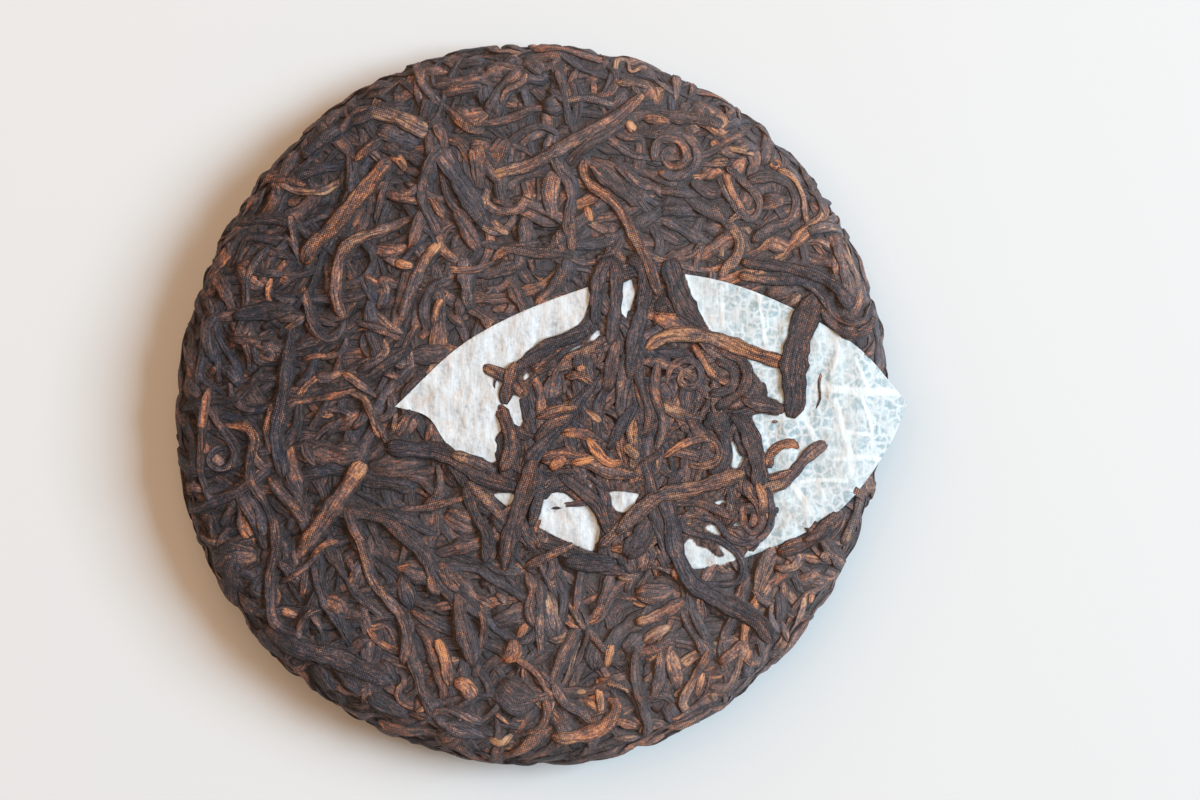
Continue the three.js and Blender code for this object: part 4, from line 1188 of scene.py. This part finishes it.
def ticket_piece(face, emboss, cover):
    """The ticket: a thin closed sheet ruled between its two edges, embossed by the leaf under it."""
    low, high = ticket_edges(SHEET_LONG)
    share = np.linspace(0, 1, SHEET_WIDE)[None, :, None]
    sheet = low[:, None] * (1 - share) + high[:, None] * share
    x, y = sheet[..., 0], sheet[..., 1]
    distance = np.hypot(x, y)
    veins = vein_strength(x, y)
    stains = sum(np.exp(-((x - cx) ** 2 + (y - cy) ** 2) / reach ** 2) for cx, cy, reach in STAINS)
    bumps = EMBOSSED * face.pile.read(emboss, x, y) * (1 - smooth(distance, 46, 52)) + VEIN_HEIGHT * veins
    under_mat = smooth(face.pile.read(cover, x, y), 0.4, 0.9)
    bumps = bumps + under_mat * MAT_HEIGHT
    z = paper_height(distance) + PAPER_LEVEL + bumps

    def side(height):
        """All points of the upper or the lower side."""
        return np.stack([AXIS[0] + x * MM, AXIS[1] + y * MM, height * MM], -1).reshape(-1, 3)

    rows, columns = x.shape
    points = np.concatenate([side(z), side(z - PAPER)])
    index = np.arange(rows * columns).reshape(rows, columns)
    upper = np.stack([index[:-1, :-1], index[1:, :-1], index[1:, 1:], index[:-1, 1:]], -1).reshape(-1, 4)
    rim = np.concatenate([index[:, 0], index[-1, 1:], index[-2::-1, -1], index[0, -2:0:-1]])
    after = np.roll(rim, -1)
    below = rows * columns
    edge = np.stack([rim, rim + below, after + below, after], -1)
    faces = [np.concatenate([upper, upper[:, ::-1] + below, edge])]
    plan = np.stack([x, y], -1).reshape(-1, 2)
    plan = np.concatenate([plan, plan])
    values = {"lift": bumps, "vein": veins, "stain": stains, "cover": under_mat}
    return make_piece("paper_ticket_sheet", points, faces, grain=plan[faces[0].ravel()],
                      tints={title: np.tile(value.ravel(), 2) for title, value in values.items()})


# ---------------------------------------------------------------- finishes


class Value:
    """A shader socket; arithmetic on it adds Math nodes."""

    def __init__(self, finish, socket):
        self.finish, self.socket = finish, socket

    def math(self, operation, *values):
        sockets = dict(enumerate(values))
        return self.finish.add("ShaderNodeMath", {"operation": operation}, sockets)

    def __add__(self, other):
        return self.math("ADD", self, other)

    def __sub__(self, other):
        return self.math("SUBTRACT", self, other)

    def __rsub__(self, other):
        return self.math("SUBTRACT", other, self)

    def __mul__(self, other):
        return self.math("MULTIPLY", self, other)

    def __pow__(self, other):
        return self.math("POWER", self, other)

    __radd__, __rmul__ = __add__, __mul__

    def sine(self):
        return self.math("SINE", self)

    def step(self, low, high):
        """An S-shaped step from 0 at low to 1 at high."""
        return self.finish.add("ShaderNodeMapRange", {"interpolation_type": "SMOOTHSTEP"},
                               {0: self, 1: low, 2: high})


class Finish:
    """One material. add() makes any node: its type, its settings, then its sockets' values or links."""

    def __init__(self, name, colour, roughness):
        self.material = bpy.data.materials.new(name)
        self.material.use_nodes = True
        self.material.diffuse_color = (*colour, 1)
        self.tree = self.material.node_tree
        self.shader = self.tree.nodes["Principled BSDF"]
        self.shader.inputs["Base Color"].default_value = (*colour, 1)
        self.shader.inputs["Roughness"].default_value = roughness

    def add(self, kind, settings=(), sockets=(), out=0):
        node = self.tree.nodes.new(kind)
        for key, value in dict(settings).items():
            if key == "stops":
                self.set_stops(node.color_ramp, value)
            else:
                setattr(node, key, value)
        for key, value in dict(sockets).items():
            self.join(node.inputs[key], value)
        return Value(self, node.outputs[out])

    def join(self, socket, value):
        if isinstance(value, Value):
            self.tree.links.new(value.socket, socket)
        else:
            socket.default_value = value

    def set_stops(self, ramp, stops):
        while len(ramp.elements) < len(stops):
            ramp.elements.new(0.5)
        for element, (position, colour) in zip(ramp.elements, stops):
            element.position = position
            element.color = (*colour, 1)

    def attribute(self, name):
        """A value that the mesh carries at each point."""
        return self.add("ShaderNodeAttribute", {"attribute_name": name}, out="Fac")

    def noise(self, vector, scale, detail=2.0, roughness=0.5):
        sockets = {"Vector": vector, "Scale": scale, "Detail": detail, "Roughness": roughness}
        return self.add("ShaderNodeTexNoise", {"noise_dimensions": "3D"}, sockets, out="Fac")

    def stretched(self, vector, x, y):
        """A vector with its first two parts multiplied."""
        return self.add("ShaderNodeVectorMath", {"operation": "MULTIPLY"}, {0: vector, 1: (x, y, 1)})

    def mixed(self, share, first, second, blend="MIX"):
        settings = {"data_type": "RGBA", "blend_type": blend}
        return self.add("ShaderNodeMix", settings, {0: share, 6: first, 7: second}, out=2)

    def bump(self, height, distance, **normal):
        return self.add("ShaderNodeBump", {}, {"Height": height, "Distance": distance, **normal})

    def feed(self, **sockets):
        """Joins values to the shader's sockets, named with _ for a space."""
        for name, value in sockets.items():
            self.join(self.shader.inputs[name.replace("_", " ")], value)


# tone to colour: blue-black, dark brown, brown, rust, copper, gold
LEAF_TONES = [
    (0.0, (0.024, 0.023, 0.032)),
    (0.2, (0.057, 0.047, 0.056)),
    (0.42, (0.125, 0.081, 0.080)),
    (0.6, (0.232, 0.121, 0.097)),
    (0.78, (0.50, 0.200, 0.113)),
    (1.0, (0.80, 0.38, 0.17)),
]
# near black, for the painted shade on the strands' sides, in their creases, where they lie low and in the
# weave's hollows
PAINTED_SHADE_COLOUR = (0.015, 0.013, 0.017, 1)
COOL_TINT = (0.87, 1.0, 1.16, 1)
WARM_TINT = (1.17, 0.99, 0.84, 1)
RUST_COLOUR = (0.27, 0.104, 0.068, 1)
# the pale grey of the painted sheen towards the window
SHEEN_COLOUR = (0.42, 0.37, 0.38, 1)

WEAVE_PITCH = 0.41 * MM
WEAVE_ANGLE = math.radians(60)
WEAVE_DEPTH = 0.08 * MM
FIBRE_DEPTH = 0.48 * MM
CRUMB_DEPTH = 0.9 * MM
CRUMPLE_DEPTH = 0.34 * MM
# how far the painted sheen pales the leaf's colour
SHEEN_SHARE = 0.14


def leaf_finish(name):
    """Dry tea leaf: fibres along the strand, rust flecks, painted shade on its sides and in hollows, a
    painted sheen, and the bag's weave.
    """
    f = Finish(name, (0.06, 0.04, 0.035), 0.5)
    grain = f.add("ShaderNodeUVMap", {"uv_map": "grain"})
    spot = f.add("ShaderNodeTexCoord", out="Object")
    tone, lift, edge, dust, press = map(f.attribute, ("tone", "lift", "edge", "dust", "press"))
    fibre = f.noise(f.stretched(grain, 0.4, 3.0), 1.0, 4.0, 0.7)
    streak = f.noise(f.stretched(grain, 0.12, 1.0), 1.0, 2.0, 0.5)
    fleck = f.noise(f.stretched(grain, 0.7, 1.7), 1.0, 4.0, 0.7)
    patch = f.noise(spot, 600.0, 4.0, 0.7)
    wrinkle = f.noise(f.stretched(grain, 1.1, 1.8), 1.0, 4.0, 0.65)
    weave_height = bag_weave(f, spot)
    fold = f.noise(f.stretched(grain, 0.1, 0.9), 1.0, 2.0, 0.5) - 0.5
    crease = 1 - (fold * fold).step(0, 0.0016)
    print_share = press * f.noise(spot, 130.0, 2.0, 0.5).step(0.33, 0.6)
    speck = f.noise(spot, 2600.0, 2.0, 0.6)
    # the painted sheen lifts the tone towards the window: painted light
    shade = tone * 0.85 + dust * 0.18
    shade = shade + (fibre - 0.5) * 1.35 + (streak - 0.5) * 0.7 + (patch - 0.5) * 1.25
    shade = shade + (speck - 0.5) * 1.1
    # the weave's cushions lighter and its hollows darker: painted light and shade of its relief
    shade = shade + print_share * (weave_height - 0.4) * 0.5
    colour = f.add("ShaderNodeValToRGB", {"stops": LEAF_TONES}, {0: shade + 0.02})
    colour = f.mixed(fleck.step(0.54, 0.68) * (0.6 - shade.step(0.5, 0.8) * 0.5), colour, RUST_COLOUR)
    warmth = f.noise(f.stretched(grain, 0.05, 0.1), 1.0, 1.0, 0.5).step(0.36, 0.64)
    colour = f.mixed(1.0, colour, f.mixed(warmth, COOL_TINT, WARM_TINT), "MULTIPLY")
    # painted shade in the weave's hollows
    colour = f.mixed(print_share * (1 - weave_height) * 0.52, colour, PAINTED_SHADE_COLOUR)
    # painted shade along the creases
    colour = f.mixed(crease * 0.6, colour, PAINTED_SHADE_COLOUR)
    # painted shade on each strand's sides and where it lies low among the others
    painted_shade = edge ** 4 * 0.6 + (1 - lift.step(-0.5, -0.08)) * 0.6
    colour = f.mixed(painted_shade, colour, PAINTED_SHADE_COLOUR)
    # painted sheen: a pale haze towards the window
    colour = f.mixed(dust * SHEEN_SHARE, colour, SHEEN_COLOUR)
    height = fibre * 0.8 + wrinkle * 0.7 + streak * 0.6 - crease * 0.25
    normal = f.bump(height, FIBRE_DEPTH)
    normal = f.bump(weave_height * print_share, WEAVE_DEPTH, Normal=normal)
    f.feed(Base_Color=colour, Roughness=0.75 - fibre * 0.3, Normal=normal, Specular_IOR_Level=0.46)
    return f.material


def bag_weave(f, spot):
    """Small cushions in two directions, from 0 to 1: the product of two sine waves."""
    x = f.add("ShaderNodeSeparateXYZ", {}, {0: spot}, out=0)
    y = f.add("ShaderNodeSeparateXYZ", {}, {0: spot}, out=1)
    cosine, sine, turns = math.cos(WEAVE_ANGLE), math.sin(WEAVE_ANGLE), TAU / WEAVE_PITCH
    warp = ((x * cosine + y * sine) * turns).sine()
    weft = ((y * cosine - x * sine) * turns).sine()
    return (warp * weft) * 0.5 + 0.5


def core_finish():
    """Crumbled leaf between the strands."""
    f = Finish("leaf_mass", (0.03, 0.022, 0.02), 0.8)
    spot = f.add("ShaderNodeTexCoord", out="Object")
    patch = f.noise(spot, 900.0, 5.0, 0.7)
    stops = [(0.32, (0.016, 0.011, 0.010)), (0.5, (0.050, 0.033, 0.031)), (0.66, (0.13, 0.073, 0.056))]
    colour = f.add("ShaderNodeValToRGB", {"stops": stops}, {0: patch})
    # the same painted sheen towards the window, on the mass
    dust = f.add("ShaderNodeSeparateXYZ", {}, {0: spot}, out=0).step(SHEEN_FROM * MM, SHEEN_TO * MM)
    colour = f.mixed(dust * SHEEN_SHARE, colour, SHEEN_COLOUR)
    f.feed(Base_Color=colour, Normal=f.bump(patch, CRUMB_DEPTH))
    return f.material


def paper_finish():
    """Thin white paper, greyed in its wrinkles partly by painted shade: at one end a net of pale veins round
    blue-green cells where the leaf shows through, rust stains, and under the mat brown leaf dust with painted
    shade."""
    f = Finish("ticket_paper", (0.74, 0.78, 0.8), 0.7)
    plan = f.add("ShaderNodeUVMap", {"uv_map": "grain"})
    x = f.add("ShaderNodeSeparateXYZ", {}, {0: plan}, out=0)
    vein, stain, cover = map(f.attribute, ("vein", "stain", "cover"))
    mottle = f.noise(plan, 0.5, 2.0, 0.5)
    fine = f.noise(plan, 1.6, 4.0, 0.6)
    crumple = f.noise(f.stretched(plan, 0.7, 0.3), 1.0, 2.0, 0.5)
    bent = f.add("ShaderNodeVectorMath", {"operation": "ADD"}, {0: plan, 1: f.stretched(mottle, 1.2, 0.9)})
    net = f.add("ShaderNodeTexVoronoi", {"feature": "DISTANCE_TO_EDGE"}, {"Vector": bent, "Scale": 0.62})
    haze = f.noise(plan, 0.16, 2.0, 0.5).step(0.36, 0.64) * 0.5 + 0.5
    cell = net.step(0.0, 0.22) * (0.3 + fine.step(0.38, 0.56) * 0.7) * haze
    clear = f.mixed(cell, (0.73, 0.76, 0.77, 1), (0.34, 0.45, 0.49, 1))
    # greyer where the crumple and fine noise are low: a mottle that is partly painted shade in the wrinkles
    stops = [(0.34, (0.50, 0.52, 0.54)), (0.48, (0.72, 0.74, 0.76)), (0.6, (0.80, 0.81, 0.82))]
    white = f.add("ShaderNodeValToRGB", {"stops": stops}, {0: crumple * 0.5 + fine * 0.5})
    colour = f.mixed(x.step(18, 34), white, clear)
    colour = f.mixed(vein.step(0.2, 0.75) * 0.85, colour, (0.86, 0.88, 0.88, 1))
    colour = f.mixed(stain * fine.step(0.42, 0.58) * 0.5, colour, (0.62, 0.42, 0.30, 1))
    # under the mat: brown leaf dust with painted shade between the strands
    leaf_dust_and_shade = f.mixed(fine.step(0.4, 0.62), (0.03, 0.023, 0.023, 1), (0.17, 0.09, 0.07, 1))
    colour = f.mixed(cover.step(0.05, 0.5), colour, leaf_dust_and_shade)
    f.feed(Base_Color=colour, Normal=f.bump(crumple + mottle * 0.6 + fine * 0.2, CRUMPLE_DEPTH))
    return f.material


# ---------------------------------------------------------------- the stage

VIEW_WIDTH = 182.4  # at the height of the face


def stage_floor():
    """The table, which isn't part of the cake."""
    corners = np.array([(-2, -2, 0), (2, -2, 0), (2, 2, 0), (-2, 2, 0)], float)
    floor = make_piece("table", corners, [np.array([[0, 1, 2, 3]])])
    floor.data.materials.append(Finish("pale_table", (0.8, 0.8, 0.8), 0.6).material)


def light(name, size, power, colour, position, target=(0, 0, 0)):
    """A soft square lamp at a position, facing a target."""
    lamp = bpy.data.lights.new(name, "AREA")
    lamp.shape = "SQUARE"
    lamp.size = size
    lamp.energy = power
    lamp.color = colour
    holder = bpy.data.objects.new(name, lamp)
    bpy.context.collection.objects.link(holder)
    holder.location = position
    away = Vector(position) - Vector(target)
    holder.rotation_euler = away.to_track_quat("Z", "Y").to_euler()


def stage_lights():
    """A large cool window to the right, a broad warm lamp behind on the left, and a dim warm room."""
    light("window", 1.25, 86, (0.61, 0.82, 0.965), (1.896, 0.266, 1.496))
    light("room_lamp", 2.6, 24, (1.0, 0.63, 0.37), (-0.66, 0.94, 1.64))
    world = bpy.data.worlds.new("room")
    bpy.context.scene.world = world
    world.use_nodes = True
    background = world.node_tree.nodes["Background"]
    background.inputs["Color"].default_value = (1.0, 0.73, 0.53, 1)
    background.inputs["Strength"].default_value = 0.24


def stage_camera():
    """Straight above the cake, a little to its right."""
    camera = bpy.data.cameras.new("camera")
    camera.lens = 70
    camera.sensor_width = 36
    holder = bpy.data.objects.new("camera", camera)
    bpy.context.collection.objects.link(holder)
    distance = VIEW_WIDTH / camera.sensor_width * camera.lens
    holder.location = (AXIS[0] + 10.5 * MM, AXIS[1] + 0.7 * MM, (CROWN - 1 + distance) * MM)
    bpy.context.scene.camera = holder


# ---------------------------------------------------------------- putting it together


def main():
    pile, mean, emboss, cover = lay_face()
    face = PressedPile(pile, mean, face_hardness, ticket=True)
    under_pile, under_mean = lay_underside()
    under = PressedPile(under_pile, under_mean, under_hardness)
    leaf = leaf_finish("dry_tea_leaf")
    pieces = pieces_by_kind("face", showing(pile), face, place, FACE_MOST, FACE_SPACING)
    pieces += pieces_by_kind("under", showing(under_pile), under, place_strand_under, UNDER_MOST,
                             UNDER_SPACING)
    for piece in pieces:
        piece.data.materials.append(leaf)
    core = core_piece(face, under)
    core.data.materials.append(core_finish())
    for piece in pieces + [core]:
        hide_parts("tea_cake")
        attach(piece, "root")
    ticket = ticket_piece(face, emboss, cover)
    ticket.data.materials.append(paper_finish())
    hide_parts("paper_ticket")
    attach(ticket, "root")
    stage_floor()
    stage_lights()
    stage_camera()
    bpy.context.scene.view_settings.view_transform = "Standard"


main()
